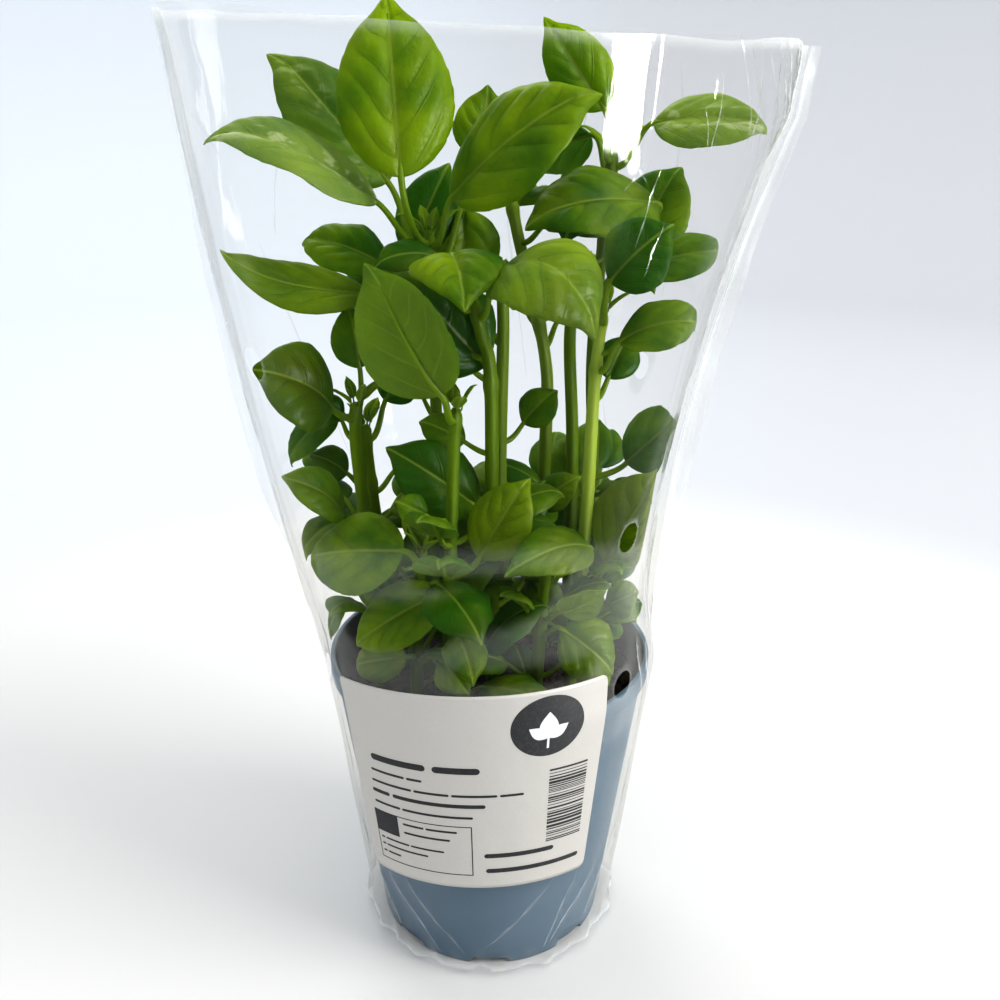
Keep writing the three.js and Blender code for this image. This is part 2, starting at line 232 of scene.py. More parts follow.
@dataclass
class Patchwork:
    """Points and faces that are gathered into one mesh, with numbers at the points."""

    points: list[Array] = field(default_factory=list)
    faces: list[Face] = field(default_factory=list)
    numbers: dict[str, list[Array]] = field(default_factory=dict)
    count: int = 0

    def add(self, points: Array, faces: list[Face], **numbers: Union[Array, float]) -> None:
        """Adds one closed or open surface.

        Args:
            points: Its points, in mm, one in each row.
            faces: Its faces, by the place of their points.
            numbers: A number for each point, or one for all of them, by attribute name.
        """
        self.points.append(points)
        self.faces += [tuple(i + self.count for i in face) for face in faces]
        for name, values in numbers.items():
            whole = np.broadcast_to(np.asarray(values, float), (len(points),))
            self.numbers.setdefault(name, []).append(whole)
        self.count += len(points)

    def made(self, name: str, finish: Finish, smooth: bool = True, crisp: float = 180.0) -> Thing:
        """Makes the object.

        Args:
            name: The object's name.
            finish: Its material.
            smooth: Whether its faces are shaded smooth.
            crisp: The angle between two faces, in degrees, from which their edge stays crisp.

        Returns:
            The new object, linked to the scene.
        """
        mesh = bpy.data.meshes.new(name)
        mesh.from_pydata(np.vstack(self.points) * MM, [], self.faces)
        for key, values in self.numbers.items():
            layer = mesh.attributes.new(key, "FLOAT", "POINT")
            layer.data.foreach_set("value", np.concatenate(values).astype(np.float32))
        mesh.polygons.foreach_set("use_smooth", [smooth] * len(mesh.polygons))
        mesh.materials.append(finish)
        mesh.validate()
        mesh.set_sharp_from_angle(angle=math.radians(crisp))
        obj = bpy.data.objects.new(name, mesh)
        bpy.context.scene.collection.objects.link(obj)
        return obj


def grid_faces(rows: int, columns: int, wrapped: bool = False, flipped: bool = False) -> list[Face]:
    """Quads between points that lie in rows.

    Args:
        rows: How many rows of points there are.
        columns: How many points there are in a row.
        wrapped: Whether each row closes on its own start.
        flipped: Whether the faces are turned round.

    Returns:
        The quads, by the place of their points.
    """
    faces = []
    for row in range(rows - 1):
        for column in range(columns if wrapped else columns - 1):
            after = (column + 1) % columns
            quad = (
                row * columns + column,
                row * columns + after,
                (row + 1) * columns + after,
                (row + 1) * columns + column,
            )
            faces.append(quad[::-1] if flipped else quad)
    return faces


def rim_of_grid(rows: int, columns: int) -> list[int]:
    """The points round a grid's edge, in order.

    Args:
        rows: How many rows of points there are.
        columns: How many points there are in a row.

    Returns:
        The place of each point.
    """
    last = (rows - 1) * columns
    ends = range(1, rows - 1)
    return (
        list(range(columns))
        + [row * columns + columns - 1 for row in ends]
        + [last + column for column in reversed(range(columns))]
        + [row * columns for row in reversed(ends)]
    )


def shell_faces(rows: int, columns: int) -> list[Face]:
    """Faces of a thin closed body whose upper grid of points comes before its lower one.

    Args:
        rows: How many rows of points there are.
        columns: How many points there are in a row.

    Returns:
        The faces, by the place of their points.
    """
    under = rows * columns
    faces = grid_faces(rows, columns)
    faces += [tuple(i + under for i in face) for face in grid_faces(rows, columns, flipped=True)]
    rim = rim_of_grid(rows, columns)
    for i, point in enumerate(rim):
        after = rim[(i + 1) % len(rim)]
        faces.append((after, point, point + under, after + under))
    return faces


def full_turn(count: int) -> Array:
    """Angles that share out a full turn, in radians."""
    return np.linspace(0, 2 * math.pi, count, endpoint=False)


def spun(section: list, columns: int) -> tuple[Array, ...]:
    """Spins a section round the axis.

    Args:
        section: The numbers of each ring of points, such as its radius and height.
        columns: How many points there are in a ring.

    Returns:
        The angle of each point, and then each of its ring's numbers.
    """
    turn = np.tile(full_turn(columns), len(section))
    return (turn, *(np.repeat(numbers, columns) for numbers in np.array(section).T))


def round_axis(radius: Array, turn: Array, height: Array) -> Array:
    """Points at a distance from the axis, an angle and a height."""
    return np.column_stack([radius * np.cos(turn), radius * np.sin(turn), height])


def tube_faces(rings: int, sides: int) -> list[Face]:
    """Faces of a tube whose rings of points follow each other, with both ends closed.

    Args:
        rings: How many rings there are.
        sides: How many points there are in a ring.

    Returns:
        The faces, by the place of their points.
    """
    last = (rings - 1) * sides
    faces = grid_faces(rings, sides, wrapped=True)
    faces.append(tuple(reversed(range(sides))))
    faces.append(tuple(last + i for i in range(sides)))
    return faces


def unit(vectors: Array) -> Array:
    """The vectors, each at length 1."""
    return vectors / np.linalg.norm(vectors, axis=-1, keepdims=True)


def smooth_step(value: Array, low: float, high: float) -> Array:
    """0 up to low, 1 from high, and smooth between them."""
    share = np.clip((value - low) / (high - low), 0, 1)
    return share * share * (3 - 2 * share)


def cubic(controls: Array, share: Array) -> tuple[Array, Array]:
    """Points and directions of a cubic curve.

    Args:
        controls: Its four control points.
        share: Where the points lie, from 0 to 1.

    Returns:
        The points, and the unit directions of the curve there.
    """
    t = np.asarray(share, float)[:, None]
    a, b, c, d = controls
    points = (1 - t) ** 3 * a + 3 * t * (1 - t) ** 2 * b + 3 * t * t * (1 - t) * c + t**3 * d
    slopes = 3 * (1 - t) ** 2 * (b - a) + 6 * t * (1 - t) * (c - b) + 3 * t * t * (d - c)
    return points, unit(slopes)


def through(points: Array, share: Array) -> Array:
    """Points of a smooth curve that passes through all the given ones.

    Args:
        points: The given points.
        share: Where the new points lie, from 0 to 1.

    Returns:
        The new points.
    """
    padded = np.vstack([2 * points[0] - points[1], points, 2 * points[-1] - points[-2]])
    spans = len(points) - 1
    place = np.clip(np.asarray(share, float) * spans, 0, spans - 1e-9)
    span = place.astype(int)
    t = (place - span)[:, None]
    a, b, c, d = (padded[span + i] for i in range(4))
    bend, twist = 2 * a - 5 * b + 4 * c - d, 3 * b - a - 3 * c + d
    return 0.5 * (2 * b + (c - a) * t + bend * t**2 + twist * t**3)


def finished(piece: Thing, nodes: list[str]) -> Thing:
    """Lets a piece ride on the body and hides the nodes that it stands for.

    Args:
        piece: The piece.
        nodes: The nodes that it stands for.

    Returns:
        The piece.
    """
    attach(piece, BODY)
    if nodes:
        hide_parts(*nodes)
    LOG.info("%s: %d faces", piece.name, len(piece.data.polygons))
    return piece


# ---- The studio ----


@dataclass(frozen=True)
class SoftLight:
    """One area light that looks at the plant. A shine shows only as a reflection."""

    name: str
    place: Point
    size: Pair
    watts: float
    colour: tuple[float, float, float] = (1.0, 1.0, 1.0)
    shine: bool = False


@dataclass
class Studio:
    """A pale floor that turns up all round, soft lights and the camera, in metres."""

    lens: float = 36.0
    sensor: float = 36.0
    camera_place: Point = (0.0039, -0.337, 0.302)
    camera_tilt: float = 69.0
    aim: Point = (0.0, 0.0, 0.17)
    flat_radius: float = 0.8
    floor_radius: float = 1.5
    turn_up: float = 0.7
    wall_top: float = 1.3
    columns: int = 96
    rug_radius: Pair = (0.36, 0.54)
    left_to_right: Pair = (-0.35, 0.45)
    floor_colour: Colour = (0.630, 0.626, 0.617, 1.0)
    # Painted shade: the wall is lighter and bluer on the left and darker and greyer on the right.
    wall_left: Colour = (0.585, 0.615, 0.655, 1.0)
    shaded_wall_right: Colour = (0.520, 0.530, 0.550, 1.0)
    sky: Colour = (0.980, 0.988, 1.0, 1.0)
    sky_strength: float = 0.84
    lights: tuple[SoftLight, ...] = (
        SoftLight("window", (1.75, -0.62, 1.60), (1.1, 1.1), 29.0, (1.0, 0.985, 0.95)),
        SoftLight("back", (-0.60, 1.60, 1.70), (1.2, 0.9), 12.0, (0.97, 0.985, 1.0)),
        SoftLight("low_right", (0.790, -0.563, 0.142), (0.17, 0.24), 16.5, (0.96, 1.0, 0.99), True),
        SoftLight("low_left", (-1.146, 0.10, 0.19), (0.16, 0.40), 0.6, (1.0, 0.99, 0.97), True),
    )

    def build(self) -> None:
        """Makes the floor, the lights, the sky and the camera."""
        self._floor()
        for light in self.lights:
            self._light(light)
        self._sky()
        bpy.context.scene.view_settings.view_transform = "Standard"
        bpy.context.scene.view_settings.look = "High Contrast"
        self._camera()
        LOG.info("studio: %d lights", len(self.lights))

    def _sky(self) -> None:
        """A plain pale sky."""
        bench = Bench("sky", world=True)
        inputs = {"Color": self.sky, "Strength": self.sky_strength}
        light = bench.wire("ShaderNodeBackground", {}, inputs)
        bench.node("ShaderNodeOutputWorld", {}, {"Surface": light})
        bpy.context.scene.world = bench.holder

    def _floor(self) -> None:
        """A round floor whose edge curves up into a wall, with painted shade that makes the wall
        darker towards the right.
        """
        turns = np.linspace(0, math.pi / 2, 20)
        flat = np.linspace(0.001, self.flat_radius, 24)
        turned = self.floor_radius + self.turn_up * np.sin(turns)
        radii = [*flat, *turned, self.floor_radius + self.turn_up]
        heights = [*np.zeros(len(flat)), *(self.turn_up * (1 - np.cos(turns))), self.wall_top]
        turn, radius, height = spun(list(zip(radii, heights)), self.columns)
        points = round_axis(radius, turn, height)
        faces = grid_faces(len(radii), self.columns, wrapped=True, flipped=True)
        faces.append(tuple(range(self.columns)))
        bench = Bench("pale_floor")
        # Painted shade: the wall's colour darkens from left to right.
        wall = bench.mixed(bench.attribute("to_right"), self.wall_left, self.shaded_wall_right)
        tone = bench.mixed(bench.attribute("up"), self.floor_colour, wall)
        finish = bench.plain({"Base Color": tone, "Roughness": 0.7, "Specular IOR Level": 0.2})
        floor = Patchwork()
        to_right = smooth_step(points[:, 0], *self.left_to_right)
        floor.add(points / MM, faces, up=smooth_step(radius, *self.rug_radius), to_right=to_right)
        floor.made("floor", finish)

    def _light(self, light: SoftLight) -> None:
        """One rectangular light, which the camera itself doesn't see.

        Args:
            light: Its numbers.
        """
        data = bpy.data.lights.new(light.name, "AREA")
        data.shape = "RECTANGLE"
        data.size, data.size_y = light.size
        data.energy = light.watts
        data.color = light.colour
        lamp = bpy.data.objects.new(light.name, data)
        lamp.location = light.place
        towards = Vector(self.aim) - Vector(light.place)
        lamp.rotation_euler = towards.to_track_quat("-Z", "Y").to_euler()
        lamp.visible_camera = False
        lamp.visible_diffuse = lamp.visible_transmission = not light.shine
        bpy.context.scene.collection.objects.link(lamp)

    def _camera(self) -> None:
        """The camera, at the photograph's place and angle."""
        data = bpy.data.cameras.new("camera")
        data.lens = self.lens
        data.sensor_width = self.sensor
        camera = bpy.data.objects.new("camera", data)
        camera.location = self.camera_place
        camera.rotation_euler = (math.radians(self.camera_tilt), 0.0, 0.0)
        bpy.context.scene.collection.objects.link(camera)
        bpy.context.scene.camera = camera


# ---- Pot and soil ----


@dataclass(frozen=True)
class PotPlastic:
    """Moulded plastic: slate blue outside, near black inside."""

    outside: Colour = (0.116, 0.178, 0.238, 1)
    worn: Colour = (0.144, 0.206, 0.268, 1)
    scuffed: Colour = (0.21, 0.27, 0.33, 1)
    inside: Colour = (0.095, 0.098, 0.104, 1)
    roughness: float = 0.42

    def material(self) -> Finish:
        """The finish, with a faint moulded grain and fine scuffs.

        Returns:
            The material.
        """
        bench = Bench("pot_plastic")
        cloud = bench.noise(28.0)
        scuff = bench.noise(120.0, 4.0, (1.0, 1.0, 9.0)).rise(0.60, 0.74)
        skin = bench.mixed(cloud.rise(0.3, 0.7), self.outside, self.worn)
        skin = bench.mixed(scuff * 0.25, skin, self.scuffed)
        colour = bench.mixed(bench.attribute("inside"), skin, self.inside)
        grain = bench.noise(900.0, 2.0)
        return bench.plain({
            "Base Color": colour,
            "Roughness": self.roughness + 0.18 * scuff + 0.08 * cloud,
            "Normal": bench.bump(grain, 0.00002, 0.15),
        })


@dataclass
class Pot:
    """The pot: a lathed wall with a rolled rim, a foot ring with notches and a drained floor."""

    rim_radius: float = 60.0
    foot_radius: float = 44.0
    height: float = 115.0
    wall: float = 1.2
    rim_proud: float = 0.9
    rim_height: float = 7.0
    rim_round: float = 0.7
    floor_underside: float = 3.2
    floor_thickness: float = 1.6
    foot_width: float = 3.2
    notches: int = 8
    notch_width: float = 14.0
    notch_height: float = 2.6
    drains: int = 6
    drain_radius: float = 4.0
    drain_circle: float = 28.0
    columns: int = 256
    finish: PotPlastic = PotPlastic()

    def wall_radius(self, height: Array) -> Array:
        """The wall's outer radius at a height."""
        top = self.rim_radius - self.rim_proud
        return self.foot_radius + (top - self.foot_radius) * height / self.height

    def _outline(self) -> list[tuple[float, float, float]]:
        """The pot's section, from the underside round to the floor.

        Returns:
            Radius, height and share of the inside's colour, at each point.
        """
        turns = np.linspace(0, math.pi / 2, 5)
        foot_in = self.foot_radius - self.foot_width
        rim_foot = self.height - self.rim_height
        corner = self.rim_round
        section = [(r, self.floor_underside, 1.0) for r in np.linspace(2.0, foot_in - 0.4, 12)]
        section += [(foot_in, self.floor_underside - 0.4, 1.0), (foot_in, 0.5, 0.0)]
        section += [(foot_in + 0.5, 0.0, 0.0), (self.foot_radius - 0.5, 0.0, 0.0)]
        levels = (0.5, *np.linspace(3.0, rim_foot - 0.4, 22))
        section += [(self.wall_radius(z), z, 0.0) for z in levels]
        section.append((self.wall_radius(rim_foot) + 0.15, rim_foot, 0.0))
        out, low, high = self.rim_radius - corner, rim_foot + corner, self.height - corner
        section += [(out + corner * math.sin(t), low - corner * math.cos(t), 0.0) for t in turns]
        section += [(out + corner * math.cos(t), high + corner * math.sin(t), 0.0) for t in turns]
        inner = self.wall_radius(self.height) - self.wall
        section += [
            (
                inner + corner * (1 - math.sin(t)),
                self.height - corner * (1 - math.cos(t)),
                math.sin(t),
            )
            for t in turns
        ]
        floor_top = self.floor_underside + self.floor_thickness
        section += [
            (self.wall_radius(z) - self.wall, z, 1.0)
            for z in (*np.linspace(self.height - 3.0, floor_top + 1.0, 24), floor_top)
        ]
        section += [(r, floor_top, 1.0) for r in np.linspace(self.foot_radius - 4.0, 2.0, 12)]
        return section

    def build(self) -> Thing:
        """Makes the pot.

        Returns:
            The pot's object.
        """
        section = self._outline()
        turn, radius, height, inside = spun(section, self.columns)
        step = 2 * math.pi / self.notches
        from_notch = np.abs((turn + math.pi / 2 + step / 2) % step - step / 2) * self.foot_radius
        in_foot = radius > self.foot_radius - self.foot_width - 0.01
        lifted = in_foot & (height < self.notch_height) & (from_notch < self.notch_width / 2)
        height = np.where(lifted, self.notch_height + 0.1 * height, height)
        shell = Patchwork()
        points = round_axis(radius, turn, height)
        shell.add(points, tube_faces(len(section), self.columns), inside=inside)
        pot = shell.made("moulded_pot", self.finish.material())
        for i in range(self.drains):
            self._drill(pot, i * 2 * math.pi / self.drains)
        return finished(pot, ["pot"])

    def _drill(self, pot: Thing, angle: float) -> None:
        """Cuts one drain hole through the pot's floor.

        Args:
            pot: The pot's object.
            angle: Where the hole is, in radians.
        """
        bpy.ops.mesh.primitive_cylinder_add(
            vertices=32,
            radius=self.drain_radius * MM,
            depth=4 * self.floor_underside * MM,
            location=(
                self.drain_circle * MM * math.cos(angle),
                self.drain_circle * MM * math.sin(angle),
                self.floor_underside * MM,
            ),
        )
        drill = bpy.context.object
        cut = pot.modifiers.new("drain", "BOOLEAN")
        cut.operation = "DIFFERENCE"
        cut.object = drill
        bpy.context.view_layer.objects.active = pot
        bpy.ops.object.modifier_apply(modifier=cut.name)
        bpy.data.objects.remove(drill)


@dataclass(frozen=True)
class Peat:
    """Moist dark peat with paler fibres."""

    dark: Colour = (0.012, 0.007, 0.004, 1)
    light: Colour = (0.055, 0.032, 0.018, 1)
    fibres: Colour = (0.13, 0.085, 0.05, 1)

    def material(self) -> Finish:
        """The finish, rough, with crumbs in its bump.

        Returns:
            The material.
        """
        bench = Bench("peat")
        crumb = bench.noise(420.0, 6.0)
        fibre = bench.noise(260.0, 3.0, (1.0, 6.0, 1.0)).rise(0.62, 0.70)
        colour = bench.mixed(crumb.rise(0.35, 0.7), self.dark, self.light)
        colour = bench.mixed(fibre * 0.6, colour, self.fibres)
        return bench.plain({
            "Base Color": colour,
            "Roughness": 0.95 - 0.25 * crumb,
            "Normal": bench.bump(crumb, 0.0012),
        })


@dataclass
class Soil:
    """The peat that fills the pot, with loose crumbs on top."""

    pot: Pot
    top: float = 100.0
    dome: float = 3.0
    clearance: float = 0.4
    rings: int = 70
    columns: int = 180
    crumbs: int = 420
    seed: int = 11
    finish: Peat = Peat()

    def build(self) -> Thing:
        """Makes the soil.

        Returns:
            The soil's object.
        """
        rng = np.random.default_rng(self.seed)
        floor = self.pot.floor_underside + self.pot.floor_thickness + self.clearance
        edge = self.pot.wall_radius(self.top) - self.pot.wall - self.clearance
        foot = self.pot.wall_radius(floor) - self.pot.wall - self.clearance
        body = Patchwork()
        rows = [(0.5, floor), (foot, floor)]
        deep = self.top - 1 - floor
        rows += [(foot + (edge - foot) * share, floor + deep * share) for share in (0.5, 1.0)]
        shares = np.linspace(1.0, 0.01, self.rings)
        rows += [(edge * share, self.top + self.dome * (1 - share**2)) for share in shares]
        turn, radius, height = spun(rows, self.columns)
        x, y = radius * np.cos(turn), radius * np.sin(turn)
        on_top = np.arange(len(x)) >= 4 * self.columns
        height = height + on_top * lumps(rng, x, y, 34, 0.25, 1.1) * 0.8
        body.add(np.column_stack([x, y, height]), tube_faces(len(rows), self.columns))
        for _ in range(self.crumbs):
            self._crumb(body, rng, edge)
        return finished(body.made("peat_block", self.finish.material()), ["soil"])

    def _crumb(self, body: Patchwork, rng: Dice, edge: float) -> None:
        """One loose crumb that sits on the soil.

        Args:
            body: The soil's mesh.
            rng: Where its random numbers come from.
            edge: The soil's radius in mm.
        """
        size = rng.uniform(0.5, 1.9)
        reach, turn = (edge - 3) * math.sqrt(rng.uniform()), rng.uniform(0, 2 * math.pi)
        level = self.top + self.dome * (1 - (reach / edge) ** 2)
        centre = np.array([reach * math.cos(turn), reach * math.sin(turn), level])
        rings, sides = 5, 7
        lift = np.repeat(np.linspace(-0.95, 0.95, rings), sides)
        around = np.tile(full_turn(sides), rings)
        girth = np.sqrt(1 - lift**2)
        rough = rng.uniform(0.7, 1.3, rings * sides)
        ball = np.column_stack([girth * np.cos(around), girth * np.sin(around), 0.7 * lift])
        body.add(ball * rough[:, None] * size + centre, tube_faces(rings, sides))


def lumps(rng: Dice, x: Array, y: Array, waves: int, low: float, high: float) -> Array:
    """Uneven ground: a sum of waves in random directions, about 1 mm high at most places.

    Args:
        rng: Where its random numbers come from.
        x: Place across, in mm.
        y: Place along, in mm.
        waves: How many waves there are.
        low: The fewest radians a mm.
        high: The most radians a mm.

    Returns:
        The height at each place.
    """
    total = np.zeros_like(np.asarray(x, float))
    for _ in range(waves):
        turn = rng.uniform(0, 2 * math.pi)
        rate = rng.uniform(low, high)
        phase = rng.uniform(0, 2 * math.pi)
        total += np.sin(rate * (x * math.cos(turn) + y * math.sin(turn)) + phase)
    return total / math.sqrt(waves)


# ---- The plant ----

# The planting, in mm. Each stem is a list of points from the soil up. Each leaf is:
# height of its node on the stem, base of the blade, tip of the blade, width, the way its upper side
# faces, the rise of the midrib in its first and last third, and the fold in degrees.
PLANTING: dict[str, dict[str, list]] = {
    "tall_left": {
        "stem": [(-16, 10, 92), (-17, 11, 140), (-19, 12, 197), (-20, 9, 266)],
        "leaves": [
            (262, (-27, -9, 284), (-30, -5, 337), 37, (0.05, -1, 0.15), (2, 3), 10),
            (260, (-36, 0, 276), (-87, -16, 298), 29, (-0.1, -0.5, 0.85), (6, 11), 22),
            (258, (-34, 18, 281), (-70, 15, 323), 33, (0.35, -0.9, 0.4), (2, 2), 16),
            (261, (-12, 2, 277), (34, -12, 311), 35, (-0.25, -0.8, 0.6), (7, 7), 14),
            (239, (-40, 1, 246), (-84, -18, 264), 23, (-0.15, -0.6, 0.8), (-4, -12), 20),
            (240, (-36, 14, 254), (-67, 24, 262), 24, (-0.1, -0.6, 0.8), (5, 4), 20),
            (244, (-16, -4, 259), (-37, -10, 257), 18, (0, -0.5, 0.86), (4, 4), 18),
            (252, (-9, 19, 272), (-8, 15, 244), 26, (0, -1, 0.1), (-3, -2), 14),
        ],
    },
    "middle": {
        "stem": [(2, -14, 92), (1, -17, 140), (1, -18, 218), (-2, -18, 236), (-5, -18, 248)],
        "leaves": [
            (244, (-11, -21, 262), (-6, -50, 250), 30, (0, -0.45, 0.9), (5, 8), 18),
            (242, (2, -24, 255), (34, -44, 240), 38, (0.25, -0.65, 0.8), (22, 20), 12),
            (220, (-1, -14, 225), (-29, -18, 257), 34, (0.3, -0.9, 0.3), (3, 3), 14),
            (172, (-4, -18, 177), (-34, -22, 200), 26, (0.2, -0.85, 0.5), (5, 4), 16),
        ],
    },
    "middle_tall": {
        "stem": [(8, -2, 92), (6, -3, 140), (4, -4, 183), (5, -6, 237), (4, -7, 252)],
        "leaves": [(170, (18, -4, 172), (32, -6, 184), 15, (-0.2, -0.7, 0.7), (3, 2), 18)],
    },
    "front": {
        "stem": [(-14, -30, 92), (-13, -32, 152), (-12, -32, 178), (-10, -32, 216)],
        "leaves": [
            (212, (-14, -39, 222), (-34, -37, 262), 36, (0.3, 0.85, 0.4), (-4, -3), 14),
            (158, (-3, -34, 165), (13, -36, 194), 22, (-0.25, -0.9, 0.3), (3, 3), 14),
            (148, (-15, -42, 156), (-46, -38, 134), 23, (-0.1, -0.75, 0.65), (6, 5), 16),
            (146, (-1, -40, 153), (-11, -50, 149), 17, (0, -0.6, 0.8), (3, 5), 16),
        ],
    },
    "left": {
        "stem": [(-40, -8, 92), (-43, -7, 136), (-45, -4, 172), (-47, -1, 196), (-46, 0, 209)],
        "leaves": [
            (204, (-53, -10, 210), (-76, -28, 228), 32, (-0.3, -0.7, 0.65), (9, 8), 18),
            (206, (-45, 5, 220), (-48, 4, 243), 17, (0.3, -0.9, 0.3), (2, 2), 14),
            (168, (-51, -12, 172), (-70, -26, 191), 19, (-0.3, -0.6, 0.75), (7, 7), 22),
            (130, (-53, -7, 136), (-60, -8, 120), 12, (-0.8, -0.4, 0.4), (2, 2), 16),
        ],
    },
    "left_twin": {
        "stem": [(-36, 8, 92), (-40, 9, 140), (-43, 9, 170), (-45, 10, 198)],
        "leaves": [
            (196, (-55, 11, 202), (-73, 4, 184), 18, (-0.3, -0.5, 0.8), (4, 5), 20),
            (192, (-38, 17, 205), (-26, 22, 220), 21, (-0.3, -0.8, 0.5), (3, 3), 18),
            (176, (-52, 8, 180), (-65, 6, 188), 16, (-0.2, -0.6, 0.8), (3, 3), 18),
        ],
    },
    "back": {
        "stem": [
            (16, 24, 92), (19, 22, 140), (21, 20, 194), (20, 20, 222), (10, 19, 264), (6, 20, 284),
        ],
        "leaves": [
            (280, (-3, 27, 288), (0, 27, 312), 22, (0.2, -0.95, 0.2), (2, 2), 14),
            (272, (10, 36, 272), (22, 66, 274), 24, (0, -0.2, 1), (5, 5), 18),
            (232, (12, 34, 240), (2, 66, 244), 26, (0, 0.3, 0.95), (6, 6), 18),
        ],
    },
    "right_back": {
        "stem": [(30, 4, 92), (30, 7, 140), (30, 7, 191), (28, 5, 231), (30, 2, 252)],
        "leaves": [
            (248, (46, -4, 254), (81, -12, 262), 21, (0.1, -0.6, 0.8), (4, 4), 20),
            (178, (50, 8, 184), (72, 2, 206), 24, (-0.2, -0.8, 0.6), (4, 3), 18),
        ],
    },
    "right": {
        "stem": [(29, -14, 92), (32, -15, 140), (34, -15, 176), (35, -15, 217), (37, -14, 244)],
        "leaves": [
            (240, (38, -24, 254), (56, -28, 272), 25, (-0.3, -0.8, 0.5), (4, 3), 16),
            (224, (42, -22, 235), (73, -24, 240), 20, (0.1, -0.65, 0.75), (9, 8), 20),
            (150, (41, -18, 156), (59, -21, 192), 29, (-0.35, -0.85, 0.4), (4, 4), 14),
            (134, (42, -18, 139), (55, -20, 146), 15, (0, -0.7, 0.7), (3, 2), 18),
        ],
    },
    "tall_right": {
        "stem": [(42, 12, 92), (40, 12, 140), (38, 13, 190), (37, 15, 228), (42, 18, 292)],
        "leaves": [
            (288, (38, 13, 304), (18, 7, 330), 21, (-0.4, -0.8, 0.3), (-2, -2), 14),
            (284, (35, 30, 296), (8, 38, 285), 33, (0, 0.6, 0.8), (4, 4), 16),
            (286, (54, 11, 300), (89, -5, 299), 21, (0.1, -0.85, 0.5), (5, 4), 14),
            (264, (56, 7, 275), (11, -12, 270), 36, (0.1, -0.6, 0.8), (6, 9), 18),
            (246, (50, 22, 257), (66, 24, 287), 28, (-0.2, -0.85, 0.5), (3, 3), 16),
        ],
    },
    "low_left": {
        "stem": [(-26, -24, 92), (-25, -30, 140), (-22, -33, 168)],
        "leaves": [
            (164, (-27, -42, 171), (-64, -24, 160), 30, (-0.1, -0.7, 0.7), (5, 5), 14),
            (126, (-28, -38, 130), (-48, -30, 122), 16, (-0.1, -0.8, 0.6), (3, 3), 16),
            (124, (-16, -42, 131), (-6, -50, 122), 14, (0.1, -0.8, 0.6), (3, 3), 16),
        ],
    },
    "low_right": {
        "stem": [(16, -24, 92), (18, -28, 140), (20, -29, 160)],
        "leaves": [
            (156, (34, -32, 168), (5, -54, 168), 20, (0.15, -0.5, 0.85), (9, 8), 16),
            (140, (24, -38, 147), (38, -42, 158), 15, (0.3, 0.7, 0.6), (-2, -2), 14),
            (134, (25, -35, 139), (43, -38, 123), 24, (0.2, -0.75, 0.65), (5, 4), 16),
        ],
    },
}

# Smaller leaves that show between the others, in the same form.
SMALL_LEAVES: dict[str, list] = {
    "tall_left": [(250, (-28, 17, 257), (-13, 22, 288), 21, (0, -0.9, 0.3), (3, 3), 14)],
    "middle": [
        (196, (-8, -14, 199), (-24, -12, 206), 14, (0.1, -0.8, 0.6), (3, 3), 18),
        (160, (8, -12, 165), (20, -4, 182), 16, (-0.2, -0.8, 0.5), (3, 3), 16),
    ],
    "front": [
        (178, (-20, -36, 181), (-30, -38, 187), 11, (0, -0.8, 0.6), (2, 2), 18),
        (152, (-20, -28, 160), (-26, -34, 176), 15, (0.2, -0.9, 0.3), (2, 2), 16),
    ],
    "middle_tall": [(196, (12, -2, 202), (24, 0, 214), 15, (-0.2, -0.8, 0.5), (3, 3), 16)],
    "left": [(196, (-52, 2, 202), (-60, 0, 212), 11, (0.2, -0.8, 0.5), (2, 2), 18)],
    "right": [(214, (40, -10, 220), (48, 2, 232), 16, (-0.1, -0.8, 0.5), (3, 3), 18)],
}


# The leaves with a painted pale wash, standing for the film's reflection and the leaf's sheen, and
# painted highlight streaks beside the midrib, and how strong they are.
WASHED_SHEEN_LEAVES: dict[str, float] = {
    "tall_left_2": 0.8, "tall_right_3": 0.8, "tall_left_3": 0.35, "middle_2": 0.20,
}

# How dark the leaves of a stem are, in the planting's order: 0 is young and yellow-green, 1 dark.
# This is partly ripeness and partly painted shade and light, darker for leaves in shade and lighter
# for lit ones.
RIPENESS_AND_SHADE: dict[str, tuple[float, ...]] = {
    "tall_left": (0.1, 0.5, 0.8, 0.5, 0.4, 0.65, 1.1, 0.4),
    "middle": (0.55, 0.45, 1.1, 1.0),
    "middle_tall": (0.8,),
    "front": (0.5, 0.2, 0.35, 1.1),
    "left": (0.9, 0.6, 0.5, 0.5),
    "left_twin": (0.8, 1.0, 0.6),
    "back": (0.5, 0.7, 0.9),
    "right_back": (0.8, 0.7),
    "right": (1.0, 0.6, 0.2, 0.5),
    "tall_right": (0.25, 0.8, 0.5, 0.8, 0.6),
    "low_left": (0.5, 0.3, 0.4),
    "low_right": (0.7, 0.4, 0.5),
}

# How olive some leaves are.
OLIVE_LEAVES: dict[str, float] = {
    "tall_left_5": 0.7, "left_1": 0.9, "left_2": 0.7, "right_3": 0.8, "front_2": 0.4,
    "left_twin_3": 0.4,
}

# How much painted sunlight lightens the upper part of a stem, where it isn't 0.
PAINTED_SUNLIGHT_STEMS: dict[str, float] = {"right": 0.85, "middle_tall": 0.25, "back": 0.45}


class Grove(Enum):
    """The joined objects that hold the small leaves, by the side that they grow on."""

    LEFT = ("small_leaves_left", ("left", "left_twin"))
    FRONT = ("small_leaves_front", ("front", "low_left", "low_right"))
    MIDDLE = ("small_leaves_middle", ("middle", "middle_tall", "tall_left"))
    RIGHT = ("small_leaves_right", ("right", "right_back"))
    BACK = ("small_leaves_back", ("back", "tall_right"))


